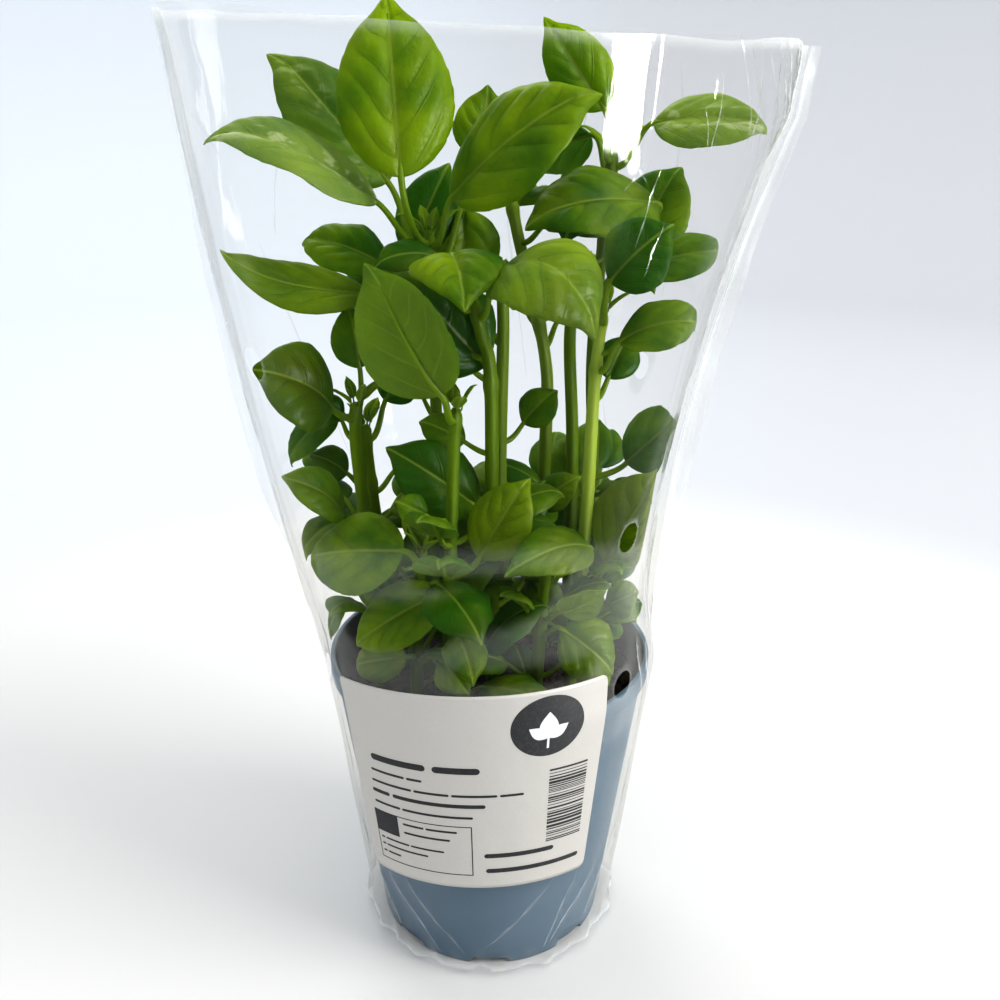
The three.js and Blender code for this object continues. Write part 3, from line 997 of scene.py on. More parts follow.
@dataclass(frozen=True)
class LeafSkin:
    """Living leaf: a waxy green skin over flesh that lets light through, with paler veins."""

    young: Colour = (0.285, 0.385, 0.004, 1)
    ripe: Colour = (0.046, 0.150, 0.003, 1)
    olive: Colour = (0.150, 0.168, 0.004, 1)
    under: Colour = (0.230, 0.330, 0.045, 1)
    # The groove colour is the dark green of painted shade in the blade's valleys and sunken veins.
    groove: Colour = (0.030, 0.085, 0.001, 1)
    vein: Colour = (0.380, 0.480, 0.075, 1)
    stalk: Colour = (0.200, 0.310, 0.010, 1)
    through: Colour = (0.520, 0.760, 0.008, 1)
    through_dark: Colour = (0.210, 0.480, 0.003, 1)
    # The next two colours are painted light: a pale wash that stands for the film's reflection and
    # the leaf's sheen, and the colour of painted highlight streaks beside the midrib.
    through_vein: Colour = (0.560, 0.760, 0.080, 1)
    painted_wash: Colour = (0.420, 0.490, 0.200, 1)
    painted_sheen: Colour = (0.660, 0.700, 0.400, 1)
    through_share: float = 0.38

    def material(self) -> Finish:
        """The finish, with veins drawn where the mesh says that they run.

        Returns:
            The material.
        """
        bench = Bench("basil_leaf")
        tone = bench.attribute("tone")
        cloud = bench.noise(48.0)
        fine = bench.noise(700.0, 4.0)
        age = tone + 2.6 * (cloud - 0.5) + 0.45 * (fine - 0.5)
        skin = bench.mixed(age, self.young, self.ripe)
        patch = bench.noise(31.0, 2.0).rise(0.50, 0.66)
        skin = bench.mixed(0.40 * patch + 0.65 * bench.attribute("olive"), skin, self.olive)
        under = bench.attribute("under")
        skin = bench.mixed(under * 0.75, skin, self.under)

        from_vein = abs((bench.attribute("rank") + 0.5).fraction() - 0.5)
        lateral = bench.attribute("lateral")
        side_vein = from_vein.rise(0.075, 0.015) * lateral.rise(1.0, 0.55)
        valley_shade = from_vein.rise(0.22, 0.02) * lateral.rise(1.05, 0.6)
        midrib = bench.attribute("rib").rise(0.80, 0.30)
        web_shade = bench.cells(420.0).rise(0.07, 0.0)
        # Painted shade: the groove colour darkens the valleys between the puffs, the sunken side
        # veins and a fine net of lines on the upper side.
        skin = bench.mixed(0.12 * valley_shade * (1.0 - under), skin, self.groove)
        skin = bench.mixed((0.20 * side_vein + 0.08 * web_shade) * (1.0 - under), skin, self.groove)
        skin = bench.mixed(0.45 * side_vein * under, skin, self.vein)
        skin = bench.mixed(midrib * (0.60 + 0.20 * under), skin, self.vein)
        # Painted reflection and highlight: the pale number washes the leaf towards a pale colour
        # and adds bright streaks beside the midrib.
        pale = bench.attribute("pale")
        streak = bench.noise(330.0, 2.0, (0.22, 1.0, 1.0)).rise(0.52, 0.62)
        streak = streak * bench.attribute("rib").rise(8.0, 3.0)
        skin = bench.mixed(0.50 * pale, skin, self.painted_wash)
        skin = bench.mixed(0.85 * pale * streak, skin, self.painted_sheen)
        skin = bench.mixed(bench.attribute("stalk"), skin, self.stalk)

        blister = bench.cells(340.0).rise(0.0, 0.30)
        net = bench.cells(1100.0).rise(0.0, 0.22)
        height = blister * 0.40 + net * 0.10 + side_vein * -0.7 + fine * 0.10
        normal = bench.bump(height, 0.00020, 0.70)
        surface = bench.principled({
            "Base Color": skin,
            "Roughness": 0.34 + 0.16 * cloud + 0.22 * under,
            "Specular IOR Level": 0.15,
            "Normal": normal,
        })
        glow = bench.mixed(age, self.through, self.through_dark)
        glow = bench.mixed(0.30 * side_vein + 0.5 * midrib, glow, self.through_vein)
        flesh = bench.wire("ShaderNodeBsdfTranslucent", {}, {"Color": glow, "Normal": normal})
        share = self.through_share * (1.0 - 0.6 * bench.attribute("stalk"))
        return bench.shown(bench.wire("ShaderNodeMixShader", {}, {0: share, 1: surface, 2: flesh}))


@dataclass(frozen=True)
class StemSkin:
    """Pale green stem with darker streaks along it, and painted sunlight on the upper part of some.
    """

    pale: Colour = (0.150, 0.240, 0.003, 1)
    deep: Colour = (0.066, 0.138, 0.002, 1)
    painted_sunlight: Colour = (0.400, 0.510, 0.080, 1)
    swollen: Colour = (0.17, 0.25, 0.02, 1)

    def material(self) -> Finish:
        """The finish, satin, with faint ribs in its bump.

        Returns:
            The material.
        """
        bench = Bench("basil_stem")
        streak = bench.noise(420.0, 3.0, (1.0, 1.0, 0.06))
        node = bench.attribute("node")
        colour = bench.mixed(streak.rise(0.3, 0.75) * 0.6, self.pale, self.deep)
        # Painted light: the upper part of some stems is lightened towards a sunlit colour.
        colour = bench.mixed(bench.attribute("painted_sunlight"), colour, self.painted_sunlight)
        colour = bench.mixed(node * 0.5, colour, self.swollen)
        return bench.plain({
            "Base Color": colour,
            "Roughness": 0.42 + 0.15 * streak,
            "Specular IOR Level": 0.09,
            "Normal": bench.bump(streak, 0.0002, 0.7),
        })


class StemLine:
    """The line that a stem follows."""

    def __init__(self, points: list[Point]) -> None:
        """Keeps the points, and the whole line in small steps."""
        self.points = np.array(points, float)
        self.line = through(self.points, np.linspace(0, 1, 400))

    def at_height(self, height: float) -> Array:
        """The line's point at a height."""
        return np.array([np.interp(height, self.line[:, 2], self.line[:, i]) for i in range(3)])


@dataclass
class LeafShape:
    """One leaf on its stalk, worked out from the planting's numbers."""

    stem: StemLine
    node: float
    base: Point
    tip: Point
    width: float
    face: Point
    rise: Pair
    fold: float
    seed: int
    tone: float
    pale: float = 0.0
    olive: float = 0.0
    steps: int = 54
    across: int = 30
    stem_radius: float = 2.5
    cup: float = 0.34
    thickness: float = 0.46
    stalk_radius: float = 1.15

    def __post_init__(self) -> None:
        """Works out the midrib, the stalk and how this leaf differs from the next."""
        rng = np.random.default_rng(self.seed)
        self.looks = {"tone": self.tone, "pale": self.pale, "olive": self.olive}
        base, tip = np.array(self.base, float), np.array(self.tip, float)
        along = tip - base
        self.length = float(np.linalg.norm(along))
        axis = along / self.length
        self.side = unit(np.cross(np.array(self.face, float), axis))
        upper = np.cross(axis, self.side)
        first, last = (upper * lift for lift in self.rise)
        self.midrib = np.array([base, base + along / 3 + first, base + 2 * along / 3 + last, tip])
        centre = self.stem.at_height(self.node)
        outward = base - centre
        outward[2] = 0.0
        outward = unit(outward)
        root = centre + outward * (self.stem_radius - 1.2)
        reach = float(np.linalg.norm(base - root)) / 3
        arriving = unit(self.midrib[1] - base)
        self.stalk = np.array([root, root + outward * reach, base - arriving * reach, base])
        self.pairs = 3.9 + self.length / 50 + rng.uniform(-0.4, 0.4)
        self.shift = rng.uniform(0.25, 0.6)
        self.lean = rng.uniform(-0.12, 0.12)
        self.wave = rng.uniform(0.015, 0.032) * self.width
        self.waves = rng.uniform(1.2, 2.6)
        self.phases = rng.uniform(0, 2 * math.pi, 2)
        self.puff = rng.uniform(0.028, 0.042) * self.width
        self.twist = rng.uniform(-0.2, 0.2)
        self.teeth = self.length / rng.uniform(4.2, 6.0)
        self.hook = rng.uniform(0.02, 0.13) * self.length

    def outline(self, share: Array) -> Array:
        """The blade's outline.

        Args:
            share: 0 at the blade's base and 1 at its tip.

        Returns:
            The half width, as a share of the greatest.
        """
        rise, fall = 0.6, 0.85
        widest = rise / (rise + fall)
        greatest = widest**rise * (1 - widest) ** fall
        drawn_out = 1 - 0.30 * np.exp(-(((share - 0.93) / 0.08) ** 2))
        return share**rise * (1 - share) ** fall / greatest * drawn_out

    def reach(self, rows: int = 11, columns: int = 7) -> Array:
        """Points spread over the blade, in rows across it.

        Args:
            rows: How many rows of points there are.
            columns: How many points there are in a row.

        Returns:
            The points, in mm.
        """
        share, across = np.linspace(0.04, 0.97, rows), np.linspace(-0.95, 0.95, columns)
        spine, tangent = cubic(self.midrib, share)
        side, normal = self._frame(tangent)
        half = self.width / 2 * self.outline(share)
        wide = half[:, None] * across
        slope = math.sin(math.radians(self.fold))
        lift = half[:, None] * (np.abs(across) * slope - self.cup * across**2)
        blade = spine[:, None] + side[:, None] * wide[..., None] + normal[:, None] * lift[..., None]
        return blade.reshape(-1, 3)

    def add_to(self, body: Patchwork, room: Room) -> None:
        """Adds the blade and its stalk to a mesh.

        Args:
            body: The mesh.
            room: Keeps points inside the film.
        """
        self._add_blade(body, room)
        self._add_stalk(body, room)

    def _frame(self, tangent: Array) -> tuple[Array, Array]:
        """The directions across the leaf and out of its upper side, for each tangent."""
        across = unit(self.side - tangent * (tangent @ self.side)[:, None])
        return across, np.cross(tangent, across)

    def _add_blade(self, body: Patchwork, room: Room) -> None:
        """Adds the blade as a thin closed body, puffed between its sunken veins.

        Args:
            body: The mesh.
            room: Keeps points inside the film.
        """
        u = (1 - np.cos(np.linspace(0, math.pi, self.steps + 1))) / 2
        u = 0.6 * u + 0.4 * np.linspace(0, 1, self.steps + 1)
        v = np.linspace(-1, 1, self.across + 1)
        v = np.sign(v) * np.abs(v) ** 0.92
        spine, tangent = cubic(self.midrib, u)
        across, normal = self._frame(tangent)
        turn = (self.twist * (u - 0.3))[:, None]
        cos, sin = np.cos(turn), np.sin(turn)
        across, normal = across * cos + normal * sin, normal * cos - across * sin
        saw = (u * self.teeth) % 1.0
        half = np.maximum(0.15, self.width / 2 * self.outline(u) * (1 + 0.022 * (saw - 0.5)))
        slope = math.radians(self.fold) * (1 + self.lean * np.sign(v))
        away = np.abs(v)
        lateral = half[:, None] * away
        far = lateral / (self.width / 2)

        rank = self.pairs * (u[:, None] - 0.27 * far - 0.22 * far**2) + self.shift * (v > 0)
        rank = rank + 0.10 * np.sin(9 * u[:, None] + 5 * v + self.phases[0])
        from_vein = np.abs(rank - np.round(rank))
        body_of_blade = np.sqrt(np.clip(np.sin(math.pi * u), 0, 1))[:, None]
        beside = smooth_step(away, 0.02, 0.28) * (1 - 0.75 * away**4)
        pillow = self.puff * np.sin(math.pi * from_vein) ** 0.6 * beside * body_of_blade
        rib = lateral / 0.8
        groove = -0.40 * np.exp(-(rib**2)) * (1 - u[:, None])
        phase = np.where(v > 0, self.phases[0], self.phases[1])
        swing = 2 * math.pi * self.waves * u[:, None] + phase
        ripple = self.wave * away**3 * np.sin(swing) * body_of_blade
        fold = half[:, None] * (away * np.sin(slope) - self.cup * v**2 - 0.05 * v**6)
        hook = self.hook * (np.clip(u - 0.78, 0, 1) / 0.22)[:, None] ** 2
        lift = fold + pillow + groove + ripple - hook

        wide = half[:, None] * v * np.cos(slope)
        middle = spine[:, None] + across[:, None] * wide[..., None]
        middle = middle + normal[:, None] * lift[..., None]
        thick = self.thickness * (1 - 0.6 * away**6) / 2
        step = (normal[:, None] * thick[None, :, None]).reshape(-1, 3)
        middle = room(middle.reshape(-1, 3))
        numbers = {
            "rank": np.tile(rank.ravel(), 2),
            "lateral": np.tile(np.broadcast_to(away, lateral.shape).ravel(), 2),
            "rib": np.tile(rib.ravel(), 2),
            "under": np.repeat([0.0, 1.0], middle.shape[0]),
        }
        body.add(
            np.vstack([middle + step, middle - step]),
            shell_faces(len(u), len(v)),
            stalk=0.0,
            **self.looks,
            **numbers,
        )

    def _add_stalk(self, body: Patchwork, room: Room) -> None:
        """Adds the stalk, which runs on under the blade as its midrib and thins to nothing.

        Args:
            body: The mesh.
            room: Keeps points inside the film.
        """
        sides = 10
        on_stalk, along = np.linspace(0, 1, 12, endpoint=False), np.linspace(0.0, 0.88, 16)
        first, first_way = cubic(self.stalk, on_stalk)
        second, second_way = cubic(self.midrib, along)
        centre, tangent = np.vstack([first, second]), np.vstack([first_way, second_way])
        size = min(1.0, 0.45 + self.width / 45) * self.stalk_radius
        radius = size * np.concatenate([1.25 - 0.35 * on_stalk, 0.9 * (1 - along) ** 0.8 + 0.05])
        sunk = np.concatenate([np.zeros(len(on_stalk)), np.minimum(1.0, along * 8) * 0.9]) * radius
        across, normal = self._frame(tangent)
        turn = full_turn(sides)
        ring = across[:, None] * np.cos(turn)[None, :, None]
        ring = ring + normal[:, None] * (0.85 * np.sin(turn))[None, :, None]
        points = (centre - normal * sunk[:, None])[:, None] + ring * radius[:, None, None]
        body.add(
            room(points.reshape(-1, 3)),
            tube_faces(len(centre), sides),
            stalk=1.0,
            rank=0.5,
            lateral=1.0,
            rib=5.0,
            under=0.0,
            **self.looks,
        )


@dataclass
class Crowd:
    """Everything that has grown so far, as points, so that new leaves find room."""

    points: Array = field(default_factory=lambda: np.zeros((0, 3)))
    far: float = 12.0

    def add(self, points: Array) -> None:
        """Takes up the room of some points."""
        self.points = np.vstack([self.points, points])

    def room_round(self, points: Array) -> float:
        """How far some points stay from everything.

        Args:
            points: The points, in mm.

        Returns:
            The distance in mm, up to what counts as far.
        """
        low, high = points.min(0) - self.far, points.max(0) + self.far
        near = self.points[np.all((self.points > low) & (self.points < high), axis=1)]
        if not len(near):
            return self.far
        return min(self.far, float(np.linalg.norm(points[:, None] - near[None], axis=2).min()))


@dataclass
class FrontView:
    """The distance of the nearest leaf in each cell of a coarse picture, taken by the camera."""

    studio: Studio
    cell: float = 7.0
    side: float = 1000.0
    margin: float = 3.0

    def __post_init__(self) -> None:
        """Starts with an empty picture."""
        count = int(self.side / self.cell) + 1
        self.nearest = np.full((count, count), np.inf)

    def _cells(self, points: Array) -> tuple[Array, Array, Array]:
        """Where points lie in the picture.

        Args:
            points: The points, in mm.

        Returns:
            The row, the column and the distance of each, kept within the picture.
        """
        tilt = math.radians(90 - self.studio.camera_tilt)
        away = points - np.array(self.studio.camera_place) / MM
        depth = away[:, 1] * math.cos(tilt) - away[:, 2] * math.sin(tilt)
        up = away[:, 1] * math.sin(tilt) + away[:, 2] * math.cos(tilt)
        scale = self.side * self.studio.lens / self.studio.sensor / depth
        last = len(self.nearest) - 1
        column = np.clip((self.side / 2 + away[:, 0] * scale) / self.cell, 0, last).astype(int)
        row = np.clip((self.side / 2 - up * scale) / self.cell, 0, last).astype(int)
        return row, column, depth

    def add(self, points: Array) -> None:
        """Takes up the cells of some points."""
        row, column, depth = self._cells(points)
        np.minimum.at(self.nearest, (row, column), depth)

    def hides(self, points: Array) -> bool:
        """Whether nearer leaves cover all the points."""
        row, column, depth = self._cells(points)
        return bool((self.nearest[row, column] < depth - self.margin).all())


@dataclass
class Plant:
    """The basil: its stems, the leaves of the planting and the small leaves between them."""

    room: Room
    front: FrontView
    stem_foot: float = 2.5
    stem_top: float = 1.75
    stem_sides: int = 24
    stem_rings: int = 90
    crown_lengths: tuple[float, ...] = (11.0, 7.5, 4.5)
    crown_climbs: tuple[float, ...] = (35, 58, 76)
    lowest_node: float = 108.0
    highest_node: float = 172.0
    node_step: float = 12.0
    tries: int = 24
    least_room: float = 1.9
    most_moved: float = 3.0
    soil_top: float = 103.0
    pot_room: float = 47.0
    rim_top: float = 116.0
    seed: int = 400
    leaf_finish: LeafSkin = LeafSkin()
    stem_finish: StemSkin = StemSkin()

    def build(self) -> None:
        """Makes every stem and leaf."""
        self.skin = self.leaf_finish.material()
        self.bark = self.stem_finish.material()
        self.lines = {place: StemLine(plan["stem"]) for place, plan in PLANTING.items()}
        self.crowd = Crowd()
        rng = np.random.default_rng(self.seed)
        for line in self.lines.values():
            self.crowd.add(line.line[::4])
        for place, plan in PLANTING.items():
            nodes = [leaf[0] for leaf in plan["leaves"]]
            self._stem(place, nodes)
            for i, leaf in enumerate(plan["leaves"], 1):
                body = Patchwork()
                looks = {
                    "tone": RIPENESS_AND_SHADE[place][i - 1] + rng.uniform(-0.06, 0.06),
                    "pale": WASHED_SHEEN_LEAVES.get(f"{place}_{i}", 0.0),
                    "olive": OLIVE_LEAVES.get(f"{place}_{i}", 0.0),
                }
                shape = LeafShape(self.lines[place], *leaf, seed=int(rng.integers(1e6)), **looks)
                shape.add_to(body, self.room)
                self.crowd.add(shape.reach())
                self.front.add(shape.reach(60, 40))
                piece = body.made(f"blade_{place}_{i}", self.skin, crisp=CRISP)
                finished(piece, [f"leaf_{place}_{i}"])
        for grove in Grove:
            self._grove(grove, rng)

    def _stem(self, place: str, nodes: list[float]) -> None:
        """One stem, slightly square in section, swollen where its leaves leave it.

        Args:
            place: The stem's name.
            nodes: The heights of its nodes, in mm.
        """
        share = np.linspace(0, 1, self.stem_rings)
        line = self.lines[place]
        centre = through(line.points, share)
        tangent = unit(np.gradient(centre, axis=0))
        first = unit(np.cross(tangent, np.array([0.0, 1.0, 0.0])))
        second = np.cross(tangent, first)
        swell = np.zeros(self.stem_rings)
        for node in nodes:
            swell = np.maximum(swell, np.exp(-(((centre[:, 2] - node) / 2.4) ** 2)))
        radius = self.stem_foot + (self.stem_top - self.stem_foot) * share
        radius = radius * (1 + 0.22 * swell) * np.sqrt(np.clip((1.012 - share) / 0.03, 0.05, 1))
        turn = full_turn(self.stem_sides)
        squared = 1 + 0.06 * np.cos(4 * turn)
        ring = first[:, None] * (squared * np.cos(turn))[None, :, None]
        ring = ring + second[:, None] * (squared * np.sin(turn))[None, :, None]
        points = centre[:, None] + ring * radius[:, None, None]
        painted_sunlight = PAINTED_SUNLIGHT_STEMS.get(place, 0.0) * smooth_step(share, 0.2, 0.6)
        body = Patchwork()
        body.add(
            points.reshape(-1, 3),
            tube_faces(self.stem_rings, self.stem_sides),
            node=np.repeat(swell, self.stem_sides),
            painted_sunlight=np.repeat(painted_sunlight, self.stem_sides),
        )
        finished(body.made(f"stalk_{place}", self.bark), [f"stem_{place}"])

    def _grove(self, grove: Grove, rng: Dice) -> None:
        """The small leaves and growing tips of some stems, joined in one object.

        Args:
            grove: The object.
            rng: Where its random numbers come from.
        """
        name, places = grove.value
        body = Patchwork()
        for place in places:
            shapes = [self._small(place, leaf, rng) for leaf in SMALL_LEAVES.get(place, [])]
            for shape in shapes:
                self.crowd.add(shape.reach())
            shapes += self._crown(place, rng)
            shapes += self._pairs(place, rng)
            for shape in shapes:
                shape.add_to(body, self.room)
        finished(body.made(name, self.skin, crisp=CRISP), [])

    def _small(self, place: str, leaf: tuple, rng: Dice) -> LeafShape:
        """A small leaf.

        Args:
            place: The stem's name.
            leaf: Its numbers, in the planting's form.
            rng: Where its random numbers come from.

        Returns:
            The leaf.
        """
        tone = 0.75 + rng.uniform(-0.25, 0.25)
        seed = int(rng.integers(1e6))
        return LeafShape(
            self.lines[place], *leaf, seed=seed, tone=tone, steps=26, across=16, cup=0.42
        )

    def _pairs(self, place: str, rng: Dice) -> list[LeafShape]:
        """The leaves that a stem bears in crossed pairs at its nodes, wherever there is room.

        Args:
            place: The stem's name.
            rng: Where its random numbers come from.

        Returns:
            The leaves.
        """
        line = self.lines[place]
        top = float(line.points[-1][2])
        turn = rng.uniform(0, math.pi)
        height = self.lowest_node + rng.uniform(0, 8)
        shapes = []
        while height < top - 12:
            for half_turn in (0.0, math.pi):
                tries = [
                    self._grown(place, height, turn + half_turn, rng) for _ in range(self.tries)
                ]
                rooms = [self._room_of(shape) * shape.length for shape in tries]
                best = tries[int(np.argmax(rooms))]
                if self._room_of(best) > self.least_room:
                    self.crowd.add(best.reach())
                    shapes.append(best)
            turn += math.pi / 2 + rng.uniform(-0.25, 0.25)
            height += self.node_step * rng.uniform(0.8, 1.2)
        return shapes

    def _room_of(self, shape: LeafShape) -> float:
        """The room round a new leaf in mm, or 0 where it would leave the film or enter the pot.

        Above the highest visible node, it is 0 too where the front view would show the leaf.

        Args:
            shape: The leaf.

        Returns:
            The room, up to what counts as far.
        """
        points = shape.reach()
        if shape.node > self.highest_node and not self.front.hides(points):
            return 0.0
        kept = self.room(points)
        reach = np.hypot(points[:, 0], points[:, 1])
        in_pot = (points[:, 2] < self.rim_top) & (reach > self.pot_room)
        moved = np.abs(kept - points).max() > self.most_moved
        if moved or in_pot.any() or points[:, 2].min() < self.soil_top:
            return 0.0
        return self.crowd.room_round(points)

    def _grown(self, place: str, height: float, turn: float, rng: Dice) -> LeafShape:
        """One leaf at a node, that leans a little further or less far each time it is asked for.

        Args:
            place: The stem's name.
            height: The node's height in mm.
            turn: The way it grows, in radians.
            rng: Where its random numbers come from.

        Returns:
            The leaf.
        """
        turn = turn + rng.uniform(-0.7, 0.7)
        climb = rng.uniform(-0.45, 0.75)
        length = rng.uniform(14, 31 + 9 * (height > self.highest_node))
        out = np.array([math.cos(turn), math.sin(turn), 0.0])
        up = np.array([0.0, 0.0, 1.0])
        root = self.lines[place].at_height(height)
        base = root + out * (4.0 + 0.30 * length) + up * (1.5 + 0.22 * length)
        tip = base + (out * math.cos(climb) + up * math.sin(climb)) * length
        face = up - out * rng.uniform(0.1, 0.6) + np.array([0, -0.25, 0])
        rise = length * rng.uniform(0.12, 0.22)
        width = length * rng.uniform(0.66, 0.82)
        leaf = (height, tuple(base), tuple(tip), width, tuple(face), (rise, rise), 16.0)
        return self._small(place, leaf, rng)

    def _crown(self, place: str, rng: Dice) -> list[LeafShape]:
        """The young leaves at a stem's growing tip, in crossed pairs.

        Args:
            place: The stem's name.
            rng: Where its random numbers come from.

        Returns:
            The leaves.
        """
        line = self.lines[place]
        top = line.points[-1]
        shapes = []
        start = rng.uniform(0, math.pi)
        for pair, (usual, degrees) in enumerate(zip(self.crown_lengths, self.crown_climbs)):
            length = usual * rng.uniform(0.9, 1.15)
            climb = math.radians(degrees)
            for half_turn in (0, 1):
                turn = start + pair * math.pi / 2 + half_turn * math.pi
                out = np.array([math.cos(turn), math.sin(turn), 0.0])
                base = top + out * 2.2 + np.array([0, 0, 0.6 + 0.5 * pair])
                tip = base + (out * math.cos(climb) + np.array([0, 0, math.sin(climb)])) * length
                face = tuple(np.array([0, 0, 1.0]) - 0.6 * out)
                shapes.append(LeafShape(
                    line, float(top[2]) - 1.0, tuple(base), tuple(tip), 0.52 * length, face,
                    (0.08 * length, 0.06 * length), 24.0,
                    seed=int(rng.integers(1e6)), tone=rng.uniform(0.0, 0.3), steps=14, across=8,
                    stalk_radius=0.55,
                ))
        return shapes


# ---- The film sleeve ----


@dataclass(frozen=True)
class ClearFilm:
    """Thin clear film: mostly see-through, with a mirror skin and a little milkiness."""

    tint: Colour = (0.982, 0.981, 0.977, 1)
    mirror: Colour = (0.78, 0.78, 0.76, 1)
    milk_and_glare: Colour = (0.97, 0.985, 0.98, 1)
    square_on: float = 0.003
    at_a_slant: float = 0.60
    roughness: float = 0.045
    haze: float = 0.002
    weld_and_glare_white: float = 0.30

    def material(self) -> Finish:
        """The finish. It mirrors more at a slant, as a thin clear skin does.

        Returns:
            The material.
        """
        bench = Bench("clear_film")
        facing = bench.wire("ShaderNodeLayerWeight", {}, {"Blend": 0.5}, "Facing")
        mirror = self.square_on + self.at_a_slant * facing**5.0
        # The weld number is mostly painted reflection and highlight (haze, veils, crease lines,
        # edges, seam bands, hole rims), and at the fins partly the real milky weld. Where it is
        # high, the film turns a diffuse white.
        weld = bench.attribute("weld")
        patch = bench.noise(14.0, 2.0)
        share = mirror + self.haze * (0.5 + patch) + self.weld_and_glare_white * weld
        crinkle = bench.noise(160.0, 3.0, (1.0, 1.0, 0.35))
        skin = bench.principled({
            "Base Color": bench.mixed(weld.rise(0.0, 0.4), self.mirror, self.milk_and_glare),
            "Metallic": weld.rise(0.2, 0.0),
            "Roughness": self.roughness + 0.3 * weld,
            "Normal": bench.bump(crinkle, 0.0006, 0.25),
        })
        clear = bench.wire("ShaderNodeBsdfTransparent", {}, {"Color": self.tint})
        return bench.shown(bench.wire("ShaderNodeMixShader", {}, {0: share, 1: clear, 2: skin}))


@dataclass(frozen=True)
class Crease:
    """A straight crease in the film, from one place to another, each in degrees and mm up.

    Its line is a painted highlight along the fold, partly the whitening of folded film: 0 where
    only the film's shape shows it, and whiter the larger it is.
    """

    start: Pair
    end: Pair
    lift: float = 0.8
    spread: float = 1.6
    line: float = 0.0
    line_width: float = 1.0


# The creases of the film: where each starts and ends, in degrees from the front and
# mm up, how far it lifts the film, how far it spreads, and how white and how wide its line is.
# The whiteness of each crease's line is a painted highlight along the fold, partly the whitening of
# folded film.
CREASES: tuple[tuple, ...] = (
    ((40, 304), (43, 293), 1.0, 1.4, 1.1, 0.6), ((43, 312), (44, 292), 1.0, 1.4, 1.2, 0.7),
    ((46, 321), (55, 293), 1.0, 1.4, 0.8, 0.8), ((52, 320), (56, 293), 1.0, 1.4, 0.9, 0.8),
    ((54, 320), (67, 297), 0.9, 1.4, 0.9, 0.7), ((29.7, 322), (28.8, 262), 1.0, 2.0),
    ((58, 320), (76, 292), 1.3, 1.5, 1.3, 0.9), ((63, 321), (79, 291), 1.3, 1.5, 1.6, 1.1),
    ((69, 322), (82, 291), 1.4, 1.5, 1.6, 1.2), ((75, 322), (84, 290), 1.4, 1.5, 2.4, 1.6),
    ((82, 322), (86, 289), 1.4, 1.5, 2.0, 1.4), ((98, 324), (92, 290), 1.4, 1.6, 1.6, 1.2),
    ((108, 324), (94, 288), 1.2, 1.8, 1.2, 1.0), ((84, 289), (74, 262), 1.0, 2.0, 1.4, 1.2),
    ((74, 262), (66, 222), 0.9, 2.2, 1.2, 1.0), ((66, 222), (60, 186), 0.9, 2.2, 1.4, 1.2),
    ((60, 186), (66, 128), 0.8, 2.2, 1.2, 1.2), ((72, 176), (70, 120), 0.8, 2.0, 1.4, 1.2),
    ((56, 134), (60, 112), 0.6, 1.6, 1.6, 1.0), ((64, 130), (66, 104), 0.6, 1.6, 1.6, 1.0),
    ((24, 293), (30, 286), 0.6, 1.2, 1.0, 0.5), ((30, 292), (25, 284), 0.6, 1.2, 1.0, 0.5),
    ((33, 290), (29, 270), 0.6, 1.4, 1.2, 0.8), ((36, 276), (33, 262), 0.5, 1.4, 1.2, 0.7),
    ((-46, 40), (-20, 8), 0.9, 1.2, 1.0, 0.8), ((47, 42), (26, 12), 0.9, 1.2, 1.2, 0.8),
    ((38, 46), (22, 8), 0.7, 1.4, 0.8, 0.8), ((-37, 42), (-10, 10), 0.7, 2.6, 0.5, 1.8),
    ((27, 46), (-2, 14), 0.7, 2.8, 0.5, 1.8), ((-64, 60), (-40, 10), 0.8, 1.6, 0.8, 0.8),
    ((66, 70), (44, 14), 0.8, 1.6, 0.8, 0.8), ((-80, 318), (-74, 250), 0.9, 2.4, 0.6, 1.0),
    ((-68, 321), (-70, 214), 0.8, 2.8, 0.4, 0.9), ((-52, 300), (-66, 228), 0.7, 2.8),
    ((-60, 306), (-53, 292), 0.6, 1.4, 0.8, 0.8), ((-78, 230), (-70, 140), 0.8, 2.6, 0.8, 1.6),
    ((-30, 150), (-62, 118), 0.6, 2.2), ((14, 150), (58, 128), 0.6, 2.2),
    ((130, 320), (118, 240), 0.9, 2.4, 0.6, 0.9), ((152, 321), (160, 262), 0.8, 2.6, 0.5, 0.8),
    ((180, 310), (168, 200), 0.8, 3.0, 0.4, 0.9), ((-160, 320), (-150, 240), 0.8, 2.6, 0.5, 0.8),
    ((-128, 321), (-116, 262), 0.9, 2.4, 0.7, 0.9), ((-110, 260), (-132, 160), 0.7, 3.0, 0.4, 0.9),
    ((140, 200), (118, 128), 0.8, 2.4, 0.6, 0.9), ((-170, 150), (-140, 118), 0.7, 2.2),
    ((160, 60), (134, 12), 0.9, 1.8, 0.9, 0.8), ((-136, 64), (-160, 10), 0.9, 1.8, 0.9, 0.8),
    ((104, 80), (122, 14), 0.8, 1.8, 0.9, 0.8), ((-98, 80), (-112, 12), 0.8, 1.8, 0.9, 0.8),
)


